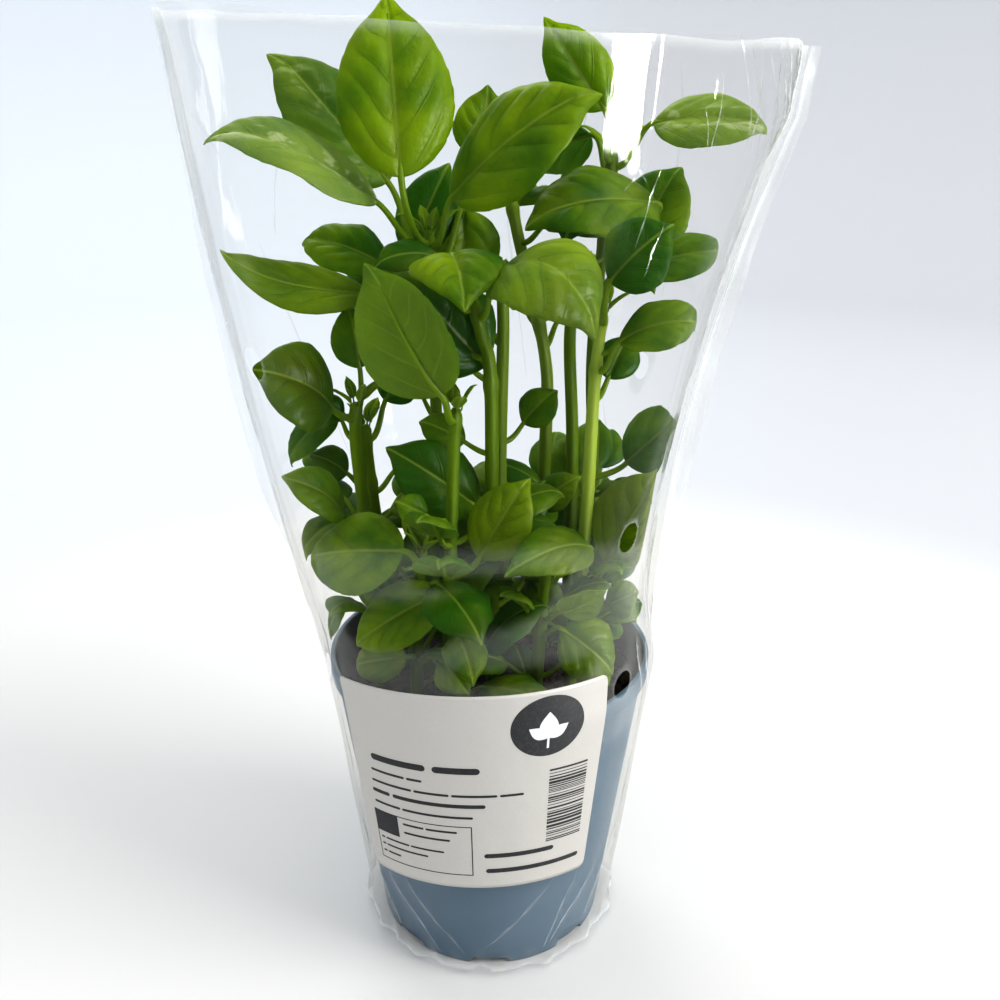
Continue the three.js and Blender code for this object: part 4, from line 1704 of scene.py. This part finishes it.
@dataclass
class Sleeve:
    """The film sleeve: a flat-made bag with a welded seam at each side, open at both ends."""

    bottom: float = 2.0
    top: float = 322.0
    pot_height: float = 115.0
    corner_rise: float = 6.0
    mouth_tilt: float = 4.7  # the left corner stands higher
    back_rise: float = 14.0
    foot_radius: float = 47.6
    rim_radius: float = 61.0
    mouth_half_width: float = 96.0
    mouth_half_depth: float = 84.0
    bulge: float = 3.5
    columns: int = 400
    rows: int = 104
    thickness: float = 0.12
    fin_width: float = 5.2
    fin_white: float = 0.9
    fin_foot: float = 10.0
    fin_rows: int = 150
    fin_columns: int = 9
    weld_line: Pair = (1.0, 0.6)  # mm from the film, and half its width
    hole_radius: float = 5.0
    holes: tuple[Pair, ...] = (
        (-58, 233), (45, 177), (48, 121), (121, 214), (-84, 108), (-150, 150),
    )
    creases: tuple[Crease, ...] = tuple(Crease(*row) for row in CREASES)
    # Painted reflections: soft white veils on the film near its top, and one beside an air hole.
    reflection_veils: tuple[Crease, ...] = (
        Crease((-66, 292), (-62, 322), spread=5.0, line=0.16),
        Crease((-51, 318), (-48, 297), spread=3.0, line=0.10),
        Crease((44, 286), (58, 262), spread=4.0, line=0.07),
        Crease((63, 288), (52, 252), spread=3.0, line=0.06),
        Crease((-60, 290), (-52, 262), spread=4.0, line=0.06),
        Crease((118, 218), (122, 208), spread=4.0, line=0.35),
    )
    # Painted reflection: a white haze over the film's lower front, with clearings where the film is
    # clear.
    reflection_haze_white: float = 0.17
    haze_top: float = 187.0
    haze_sag: float = 11.0  # at 50 degrees from the front
    haze_fade: float = 6.0
    haze_foot: Pair = (92.0, 104.0)
    haze_left: Pair = (-54.0, -50.0)
    haze_right: Pair = (64.0, 56.0)
    clearings: tuple[Crease, ...] = (
        Crease((-38, 150), (-16, 156), spread=9.0),
        Crease((-8, 160), (10, 167), spread=8.0),
        Crease((-17, 172), (20, 173), spread=2.5),
        Crease((-6, 138), (30, 136), spread=4.0),
    )
    pinch: float = 12.0
    cusp: Pair = (1.5, 5.0)
    cusp_degrees: float = 5.0
    seam_glare_white: Pair = (0.15, 0.24)
    seam_clear: Pair = (120.0, 180.0)
    give: float = 4.0
    line_out: float = 0.2
    line_white: float = 0.6
    line_steps: int = 36
    rim_white: float = 0.3
    seed: int = 77
    finish: ClearFilm = ClearFilm()

    def radius(self, angle: Array, height: Array) -> Array:
        """The film's inner radius.

        Args:
            angle: Radians from the front.
            height: Height in mm.

        Returns:
            The radius in mm.
        """
        low = self.foot_radius + (self.rim_radius - self.foot_radius) * (height - self.bottom) / (
            self.pot_height - self.bottom
        )
        s = np.clip((height - self.pot_height) / (self.top - self.pot_height), 0, None)
        half_width = self.rim_radius + (self.mouth_half_width - self.rim_radius) * s
        half_width = half_width + self.bulge * np.sin(math.pi * np.clip(s, 0, 1))
        waist = np.clip(np.sin(math.pi * np.clip(s / 0.9, 0, 1)), 0, 1) ** 0.8
        drawn_in = np.where(np.sin(angle) < 0, *self.cusp) * smooth_step(s, 0.0, 0.2)
        half_width = half_width - self.pinch * waist * (np.sin(angle) > 0) - drawn_in
        half_depth = self.rim_radius + (self.mouth_half_depth - self.rim_radius) * s
        spread = np.hypot(half_depth * np.sin(angle), half_width * np.cos(angle))
        oval = half_width * half_depth / spread
        above = oval + drawn_in * self._by_seam(angle) ** 1.3
        return np.where(height < self.pot_height, low, above)

    def _by_seam(self, angle: Array) -> Array:
        """1 at a side seam, and 0 from a few degrees away, for angles in radians."""
        return np.clip(1 - np.abs(np.abs(np.degrees(angle)) - 90) / self.cusp_degrees, 0, 1)

    def keep_inside(self, points: Array) -> Array:
        """Moves points that would pass through the film back to its inner face.

        Args:
            points: The points, in mm.

        Returns:
            The points, all inside.
        """
        angle = np.arctan2(points[:, 0], -points[:, 1])
        reach = np.hypot(points[:, 0], points[:, 1])
        most = self.radius(angle, points[:, 2]) - 0.5
        over = np.maximum(0.0, reach - most + self.give)
        kept = reach - over + self.give * (1 - np.exp(-over / self.give))
        share = kept / np.maximum(reach, 0.001)
        share = np.where(points[:, 2] > self.top, 1.0, share)
        return np.column_stack([points[:, 0] * share, points[:, 1] * share, points[:, 2]])

    def _unevenness(self, angle: Array, height: Array, label_reach: Array) -> Array:
        """How far the film stands out from its plain shape, in mm.

        Args:
            angle: Degrees from the front.
            height: Height in mm.
            label_reach: 1 under the label, 0 away from it.

        Returns:
            The distance, which is never inwards.
        """
        turn = np.radians(angle)
        up = smooth_step(height, self.pot_height, self.top)
        swell = 0.7 * np.sin(5 * turn + 0.8) + 0.5 * np.sin(9 * turn + 2.1 + 0.012 * height)
        swell = (swell + 1.2) * (0.2 + 0.8 * up)
        rng = np.random.default_rng(self.seed)
        crinkle = 0.16 * (lumps(rng, 60 * turn, 0.35 * height, 24, 0.15, 0.6) + 2.0)
        raised = np.zeros_like(swell)
        for crease in self.creases:
            raised = np.maximum(raised, self._ridge(crease, angle, height))
        gather = smooth_step(height, 16.0, self.bottom) * (
            1.3 + 0.8 * np.sin(17 * turn) + 0.7 * np.sin(31 * turn + 1.0)
        )
        free = 1 - label_reach
        return 0.25 + 0.5 * label_reach + free * (swell + crinkle + raised + gather)

    def _flat(self, crease: Crease) -> tuple[Array, float]:
        """A crease's run on the unrolled film.

        Args:
            crease: The crease.

        Returns:
            The run in mm, and the mm in a degree there.
        """
        middle = (crease.start[1] + crease.end[1]) / 2
        scale = math.radians(float(self.radius(math.radians(crease.start[0]), middle)))
        turn, rise = (end - start for start, end in zip(crease.start, crease.end))
        return np.array([turn * scale, rise]), scale

    def _from_line(self, crease: Crease, angle: Array, height: Array) -> tuple[Array, Array]:
        """Where places lie beside a crease.

        Args:
            crease: The crease.
            angle: Degrees from the front.
            height: Height in mm.

        Returns:
            How far along it each is, from 0 to 1, and how many mm from its line.
        """
        run, scale = self._flat(crease)
        x = ((angle - crease.start[0] + 180) % 360 - 180) * scale
        y = height - crease.start[1]
        along = np.clip((x * run[0] + y * run[1]) / (run @ run), 0, 1)
        return along, np.hypot(x - along * run[0], y - along * run[1])

    def _ridge(self, crease: Crease, angle: Array, height: Array) -> Array:
        """How far one crease lifts the film, with a sharp edge along its line.

        Args:
            crease: The crease.
            angle: Degrees from the front.
            height: Height in mm.

        Returns:
            The lift in mm.
        """
        along, away = self._from_line(crease, angle, height)
        fade = np.sqrt(np.clip(1 - np.abs(2 * along - 1) ** 6, 0, 1))
        return crease.lift * np.exp(-away / crease.spread) * (0.25 + 0.75 * fade)

    def _edges(self, angle: Array) -> tuple[Array, Array]:
        """The film's lower and upper edge.

        Args:
            angle: Degrees from the front.

        Returns:
            The height of each, in mm.
        """
        turn = np.radians(angle)
        rng = np.random.default_rng(self.seed + 1)
        ragged = 1.4 * np.abs(lumps(rng, 50 * turn, 0 * turn, 14, 0.1, 0.5))
        low = self.bottom + np.clip(ragged, 0, 5)
        wavy = 0.6 * np.sin(7 * turn + 1.0) + 0.4 * np.sin(16 * turn)
        dip = 1.5 * np.exp(-(((angle - 48) / 9) ** 2))
        rise = self.corner_rise * np.sin(turn) ** 2 - self.mouth_tilt * np.sin(turn)
        rise = rise + self.back_rise * np.clip(-np.cos(turn), 0, 1) ** 1.2
        return low, self.top - 0.8 + rise + wavy * 0.6 - dip

    def _label_reach(self, angle: Array, height: Array) -> Array:
        """Where the label holds the film.

        Args:
            angle: Degrees from the front.
            height: Height in mm.

        Returns:
            1 under the label, and 0 a little way from it.
        """
        label = Label(self)
        across = np.radians(angle - label.turn) * label.radius
        sag = label.droop * (2 * across / label.width) ** 2
        level = height - label.middle - label.tilt * across + sag
        outside = np.maximum(np.abs(across) - label.width / 2, np.abs(level) - label.height / 2)
        return smooth_step(outside, 5.0, 0.5)

    def place(self, angle: Array, height: Array) -> Array:
        """The film's points.

        Args:
            angle: Degrees from the front.
            height: Height in mm.

        Returns:
            The points, in mm.
        """
        out = self._unevenness(angle, height, self._label_reach(angle, height))
        turn = np.radians(angle)
        reach = self.radius(turn, height) + out
        return np.column_stack([reach * np.sin(turn), -reach * np.cos(turn), height])

    def build(self) -> Thing:
        """Makes the sleeve.

        Returns:
            The sleeve's object.
        """
        angles = np.linspace(-180, 180, self.columns, endpoint=False)
        low, high = self._edges(angles)
        shares = np.linspace(0, 1, self.rows)
        height = low[None, :] + (high - low)[None, :] * shares[:, None]
        angle = np.broadcast_to(angles, height.shape)
        faces = grid_faces(self.rows, self.columns, wrapped=True)
        angle, height = angle.ravel().copy(), height.ravel().copy()
        faces = self._punch(angle, height, faces)
        white = self._whiteness(angle, height, np.repeat(shares, self.columns))
        # Painted highlight: the rims of the air holes are whitened.
        white[self.rims] = self.rim_white
        sheet = Patchwork()
        sheet.add(self.place(angle, height), faces, weld=white)
        for crease in self.creases:
            if crease.line:
                self._line(sheet, crease)
        for side in (-1, 1):
            self._fin(sheet, side)
        film = sheet.made("film_sleeve", self.finish.material())
        self._tidy(film)
        wall = film.modifiers.new("wall", "SOLIDIFY")
        wall.thickness = self.thickness * MM
        wall.offset = 1.0
        bpy.context.view_layer.objects.active = film
        bpy.ops.object.modifier_apply(modifier=wall.name)
        film.data.set_sharp_from_angle(angle=math.radians(CRISP))
        return finished(film, ["sleeve"])

    def _whiteness(self, angle: Array, height: Array, share: Array) -> Array:
        """How white the film is, in painted reflection and highlight: at its edges and foot, in its
        veils and haze, and by its seams.

        Args:
            angle: Degrees from the front.
            height: Height in mm.
            share: 0 at the lower edge and 1 at the upper one.

        Returns:
            0 where the film is clear, and more where it is white.
        """
        edge = np.exp(-((1 - share) / 0.004)) + np.exp(-(share / 0.006))
        foot = smooth_step(height, 13.0, 2.0) * (0.5 + 0.5 * np.sin(0.55 * angle + 0.4 * height))
        white = np.maximum(0.5 * edge, 0.35 * foot)
        for veil in self.reflection_veils:
            away = self._from_line(veil, angle, height)[1]
            soft = smooth_step(away, veil.spread + 3.0, veil.spread - 2.0)
            white = np.maximum(white, veil.line * soft)
        white = np.maximum(white, self.reflection_haze_white * self._reflection_haze(angle, height))
        seam = np.where(angle < 0, *self.seam_glare_white) * smooth_step(height, *self.seam_clear)
        seam = seam * smooth_step(self._by_seam(np.radians(angle)), 0.0, 0.4)
        return np.maximum(white, seam)

    def _reflection_haze(self, angle: Array, height: Array) -> Array:
        """The painted reflection haze on the film's lower front, with a few clearings.

        Args:
            angle: Degrees from the front.
            height: Height in mm.

        Returns:
            1 where the film is hazy, and 0 where it is clear.
        """
        top = self.haze_top - self.haze_sag * (angle / 50) ** 2
        hazy = smooth_step(top - height, 0, self.haze_fade) * smooth_step(height, *self.haze_foot)
        hazy = hazy * smooth_step(angle, *self.haze_left) * smooth_step(angle, *self.haze_right)
        for clearing in self.clearings:
            away = self._from_line(clearing, angle, height)[1]
            hazy = hazy * smooth_step(away, clearing.spread - 1.5, clearing.spread + 2.0)
        return hazy

    def _line(self, sheet: Patchwork, crease: Crease) -> None:
        """The white painted highlight of a crease: a thin strip on the film that tapers at both
        ends.

        Args:
            sheet: The film's mesh.
            crease: The crease.
        """
        share = np.linspace(0, 1, self.line_steps)
        run, scale = self._flat(crease)
        across = np.array([-run[1], run[0]]) / np.linalg.norm(run)
        half = crease.line_width / 2 * np.sqrt(np.clip(np.sin(math.pi * share), 0.02, 1))
        half = half * (1 + 0.35 * np.sin(17 * share + crease.start[0]))
        wander = 0.5 * np.sin(5.2 * share + crease.end[0]) * np.sin(math.pi * share)
        offset = (wander[:, None] + half[:, None] * np.array([-1.0, 0.0, 1.0])).ravel()
        along = np.repeat(share, 3)
        angle = crease.start[0] + (along * run[0] + offset * across[0]) / scale
        height = crease.start[1] + along * run[1] + offset * across[1]
        points = self.place(angle, height)
        outward = np.column_stack([points[:, 0], points[:, 1], np.zeros(len(points))])
        points = points + self.line_out * unit(outward)
        flicker = 0.75 + 0.25 * np.sin(29 * share + crease.end[1])
        white = self.line_white * crease.line * np.outer(flicker, [0.0, 1.0, 0.0]).ravel()
        sheet.add(points, grid_faces(self.line_steps, 3, flipped=True), weld=white)

    def _punch(self, angle: Array, height: Array, faces: list[Face]) -> list[Face]:
        """Opens the air holes, and draws the points round each one to a circle.

        Args:
            angle: Degrees of each point, which is changed in place.
            height: Height of each point, likewise.
            faces: The film's faces.

        Returns:
            The faces that are left.
        """
        corners = np.array(faces)
        kept = np.ones(len(faces), bool)
        self.rims = np.zeros(0, int)
        for degrees, level in self.holes:
            scale = math.radians(float(self.radius(math.radians(degrees), level)))
            x = ((angle - degrees + 180) % 360 - 180) * scale
            y = height - level
            reach = np.hypot(x, y)
            inside = np.hypot(x[corners].mean(1), y[corners].mean(1)) < self.hole_radius
            inside &= reach[corners].max(1) < 3 * self.hole_radius
            kept &= ~inside
            rim = np.intersect1d(np.unique(corners[inside]), np.unique(corners[kept]))
            self.rims = np.union1d(self.rims, rim)
            pull = self.hole_radius / reach[rim]
            angle[rim] = degrees + x[rim] * pull / scale
            height[rim] = level + y[rim] * pull
        return [tuple(face) for face in corners[kept].tolist()]

    def _tidy(self, film: Thing) -> None:
        """Removes the points that no face uses.

        Args:
            film: The film's object.
        """
        mesh = bmesh.new()
        mesh.from_mesh(film.data)
        loose = [vertex for vertex in mesh.verts if not vertex.link_faces]
        bmesh.ops.delete(mesh, geom=loose, context="VERTS")
        mesh.to_mesh(film.data)
        mesh.free()

    def _fin(self, sheet: Patchwork, side: int) -> None:
        """The welded seam at one side: it lies back on the film low down and stands out above.

        Args:
            sheet: The film's mesh.
            side: -1 for the left seam and 1 for the right one.
        """
        high = float(self._edges(np.array([90.0 * side]))[1][0]) - 0.2
        height = np.repeat(np.linspace(self.fin_foot, high, self.fin_rows), self.fin_columns)
        share = np.tile(np.linspace(0, 1, self.fin_columns), self.fin_rows)
        wide = self.fin_width * (0.75 + 0.5 * np.sin(math.pi * smooth_step(height, 60, 330)))
        reach = share * wide
        root = self.place(np.full(len(height), 90.0 * side), height)
        turn = math.radians(78) * (1 - smooth_step(height, 120, 190))
        wave = 0.7 * np.sin(height / 7.0 + side) + 0.4 * np.sin(height / 2.9)
        root[:, 0] += side * (reach * np.cos(turn) + 0.3)
        root[:, 1] += reach * np.sin(turn) + wave * share
        across = np.sin(2.5 * math.pi * share + 0.04 * height)
        # The fin's whiteness is partly the real milky weld line and partly painted reflection in
        # streaks along the fin.
        streak = 0.5 + 0.5 * across * np.sin(0.11 * height + 2 * share)
        weld = np.exp(-(((reach - self.weld_line[0]) / self.weld_line[1]) ** 2))
        white = self.fin_white * (0.25 + 0.40 * streak + 0.9 * weld)
        sheet.add(root, grid_faces(self.fin_rows, self.fin_columns, flipped=side < 0), weld=white)


# ---- The label ----


@dataclass(frozen=True)
class Paper:
    """White coated paper, coloured a darker warm grey as painted shade on the label's front."""

    colour: Colour = (0.560, 0.540, 0.505, 1)
    fibres: Colour = (0.53, 0.51, 0.475, 1)

    def material(self) -> Finish:
        """The finish, with faint fibres and a slight cockle.

        Returns:
            The material.
        """
        bench = Bench("label_paper")
        fibre = bench.noise(1500.0, 4.0)
        cockle = bench.noise(60.0, 2.0)
        colour = bench.mixed(fibre.rise(0.35, 0.7) * 0.5, self.colour, self.fibres)
        return bench.plain({
            "Base Color": colour,
            "Roughness": 0.5 + 0.12 * fibre,
            "Normal": bench.bump(cockle * 3.0 + fibre * 0.05, 0.0004, 0.5),
        })


@dataclass(frozen=True)
class Ink:
    """Printed ink, a little uneven."""

    name: str
    colour: Colour
    worn: Colour

    def material(self) -> Finish:
        """The finish.

        Returns:
            The material.
        """
        bench = Bench(self.name)
        patchy = bench.noise(900.0, 3.0)
        colour = bench.mixed(patchy.rise(0.45, 0.75) * 0.5, self.colour, self.worn)
        return bench.plain({"Base Color": colour, "Roughness": 0.4 + 0.2 * patchy})


@dataclass
class Label:
    """The paper label on the film's front, with plain bars where print would be, in mm."""

    # Lines of word bars: start across, place up, the length of each word, and their thickness.
    WORDS = (
        (-36.5, 11.6, (23.0, 16.0), 2.7),
        (-37.6, 5.6, (15.5, 6.0), 1.0),
        (-38.2, 0.6, (18.5, 13.0, 15.5, 8.0), 1.0),
        (-38.8, -4.0, (9.0, 35.0), 1.6),
        (-38.6, -9.2, (13.0, 27.0), 1.0),
        (6.0, -27.0, (26.0,), 2.0),
        (6.6, -34.2, (37.0,), 2.0),
        (-25.4, -16.2, (9.0, 12.0), 0.9),
        (-25.4, -20.2, (19.0,), 0.9),
        (-38.4, -26.0, (2.0, 12.0, 14.0), 0.8),
        (-38.4, -29.2, (2.0, 20.0), 0.8),
        (-38.4, -32.6, (2.0, 7.0), 0.8),
    )
    # The four sides of the outlined box and the dark patch in it: left, low, right, high.
    BLOCKS = (
        (-40.2, -36.4, 1.8, -36.05),
        (-40.2, -13.6, 1.8, -13.25),
        (-40.2, -36.4, -39.85, -13.25),
        (1.45, -36.4, 1.8, -13.25),
        (-39.8, -23.2, -27.8, -13.6),
    )

    sleeve: Sleeve
    width: float = 96.0
    height: float = 85.0
    corner: float = 3.0
    turn: float = -7.5
    middle: float = 87.5
    tilt: float = 0.075
    droop: float = 4.0
    paper_out: float = 0.95
    paper_thickness: float = 0.3
    columns: int = 97
    rows: int = 60
    bars_box: tuple[float, float, float, float] = (28.0, -24.0, 42.5, 9.4)
    bars_slant: float = 0.02
    badge_middle: Pair = (26.6, 28.0)
    badge_radius: float = 12.2
    finish: Paper = Paper()
    black: Ink = Ink("print_black", (0.020, 0.020, 0.022, 1), (0.060, 0.060, 0.062, 1))
    white: Ink = Ink("print_white", (0.78, 0.78, 0.77, 1), (0.70, 0.70, 0.69, 1))

    @property
    def radius(self) -> float:
        """The radius that the label is wrapped to."""
        return float(self.sleeve.radius(math.radians(self.turn), self.middle)) + 0.5

    def place(self, x: Array, y: Array, out: float) -> Array:
        """Points of the label in mm.

        Args:
            x: Place across the label from its middle.
            y: Place up the label from its middle.
            out: How far outside the film.

        Returns:
            The points, one in each row.
        """
        level = self.middle + y + self.tilt * x - self.droop * (2 * x / self.width) ** 2
        angle = math.radians(self.turn) + x / self.radius
        reach = self.sleeve.radius(angle, level) + out
        return np.column_stack([reach * np.sin(angle), -reach * np.cos(angle), level])

    def build(self) -> None:
        """Makes the paper and its print."""
        x = np.linspace(-1, 1, self.columns)
        x = np.sign(x) * (1 - (1 - np.abs(x)) ** 1.25) * self.width / 2
        in_corner = np.maximum(0, np.abs(x) - (self.width / 2 - self.corner))
        trim = self.corner - np.sqrt(self.corner**2 - in_corner**2)
        y = np.linspace(-1, 1, self.rows)[:, None] * (self.height / 2 - trim)[None, :]
        wide = np.broadcast_to(x, y.shape).ravel()
        outer = self.place(wide, y.ravel(), self.paper_out + self.paper_thickness)
        inner = self.place(wide, y.ravel(), self.paper_out)
        sheet = Patchwork()
        sheet.add(np.vstack([outer, inner]), shell_faces(self.rows, self.columns))
        finished(sheet.made("paper_label", self.finish.material()), ["label"])
        self._print()

    def _shape(self, body: Patchwork, outline: Array, layer: int = 1) -> None:
        """Adds one printed shape, as thin as ink, that follows the paper.

        Args:
            body: The print's mesh.
            outline: The points round the shape, on the label, anticlockwise.
            layer: 1 for ink on the paper, 2 for ink on ink.
        """
        centre = outline.mean(0)
        size = np.abs(outline - centre).max()
        rings = max(2, int(size / 1.6))
        out = self.paper_out + self.paper_thickness + 0.05 * layer
        shares = np.linspace(1, 0.02, rings + 1)
        flat = (centre + (outline - centre)[None] * shares[:, None, None]).reshape(-1, 2)
        top = self.place(flat[:, 0], flat[:, 1], out)
        faces = grid_faces(rings + 1, len(outline), wrapped=True)
        faces.append(tuple(rings * len(outline) + i for i in range(len(outline))))
        body.add(top, faces)

    def _bar(self, body: Patchwork, x: float, y: float, length: float, thick: float) -> None:
        """A word bar with round ends.

        Args:
            body: The print's mesh.
            x: Its left end.
            y: Its middle.
            length: Its length.
            thick: Its thickness.
        """
        half = thick / 2
        turns = np.linspace(-math.pi / 2, math.pi / 2, 9)
        count = max(2, int(length / 2))
        run = np.linspace(x + half, x + length - half, count)
        right = np.column_stack([
            x + length - half + half * np.cos(turns), y + half * np.sin(turns)
        ])
        left = np.column_stack([x + half - half * np.cos(turns), y - half * np.sin(turns)])
        lower = np.column_stack([run[1:-1], np.full(count - 2, y - half)])
        upper = np.column_stack([run[1:-1][::-1], np.full(count - 2, y + half)])
        self._shape(body, np.vstack([lower, right, upper, left]))

    def _words(
        self, body: Patchwork, x: float, y: float, words: tuple[float, ...], thick: float
    ) -> None:
        """A line of word bars.

        Args:
            body: The print's mesh.
            x: The left end of the first.
            y: Their middle.
            words: The length of each.
            thick: Their thickness.
        """
        for length in words:
            self._bar(body, x, y, length, thick)
            x += length + 0.9 * thick

    def _block(self, body: Patchwork, left: float, low: float, right: float, high: float) -> None:
        """A plain rectangle.

        Args:
            body: The print's mesh.
            left: Its left side.
            low: Its lower side.
            right: Its right side.
            high: Its upper side.
        """
        across = np.linspace(left, right, max(2, int((right - left) / 1.5)))
        up = np.linspace(low, high, max(2, int((high - low) / 1.5)))
        outline = np.vstack([
            np.column_stack([across, np.full(len(across), low)])[:-1],
            np.column_stack([np.full(len(up), right), up])[:-1],
            np.column_stack([across[::-1], np.full(len(across), high)])[:-1],
            np.column_stack([np.full(len(up), left), up[::-1]])[:-1],
        ])
        self._shape(body, outline)

    def _bars(self, body: Patchwork) -> None:
        """A stack of plain bars of uneven thickness, as on a price tag.

        Args:
            body: The print's mesh.
        """
        rng = np.random.default_rng(5)
        left, low, right, high = self.bars_box
        y = high
        while y > low:
            thick = float(rng.choice([0.32, 0.5, 0.5, 0.8, 1.1]))
            slant = self.bars_slant * (high - y)
            self._block(body, left + slant, y - thick, right + slant, y)
            y -= thick + float(rng.choice([0.35, 0.45, 0.7, 0.95]))

    def _badge(self, body: Patchwork, light: Patchwork) -> None:
        """A round disc that holds a sprig of three plain leaves.

        Args:
            body: The dark print's mesh.
            light: The light print's mesh.
        """
        turns = full_turn(64)
        centre = np.array(self.badge_middle)
        disc = np.column_stack([np.cos(turns), np.sin(turns)])
        self._shape(body, centre + self.badge_radius * disc)
        for tilt, length in ((0.0, 10.5), (0.95, 8.0), (-0.95, 8.0)):
            t = np.linspace(0, 1, 15)
            half = 0.30 * length * np.sin(math.pi * t**0.8)
            right, left = (np.column_stack([side * half, t * length]) for side in (1, -1))
            one = np.vstack([right, left[::-1][1:-1]])
            spin = np.array([[math.cos(tilt), -math.sin(tilt)], [math.sin(tilt), math.cos(tilt)]])
            self._shape(light, centre + np.array([0.0, -4.6]) + one @ spin.T, 2)
        stalk = np.array([(-0.4, -9.0), (0.4, -9.0), (0.4, -4.2), (-0.4, -4.2)])
        self._shape(light, centre + stalk, 2)

    def _print(self) -> None:
        """Makes everything that is printed on the paper."""
        dark, light = Patchwork(), Patchwork()
        for x, y, words, thick in self.WORDS:
            self._words(dark, x, y, words, thick)
        for left, low, right, high in self.BLOCKS:
            self._block(dark, left, low, right, high)
        self._bars(dark)
        self._badge(dark, light)
        finished(dark.made("label_print", self.black.material(), smooth=False), [])
        finished(light.made("label_sprig", self.white.material(), smooth=False), [])


def main() -> None:
    """Builds the studio and the pieces in order."""
    logging.basicConfig(level=logging.INFO, format="%(name)s: %(message)s")
    studio = Studio()
    studio.build()
    pot = Pot()
    pot.build()
    Soil(pot).build()
    sleeve = Sleeve()
    Plant(sleeve.keep_inside, FrontView(studio)).build()
    sleeve.build()
    Label(sleeve).build()


if __name__ == "__main__":
    main()
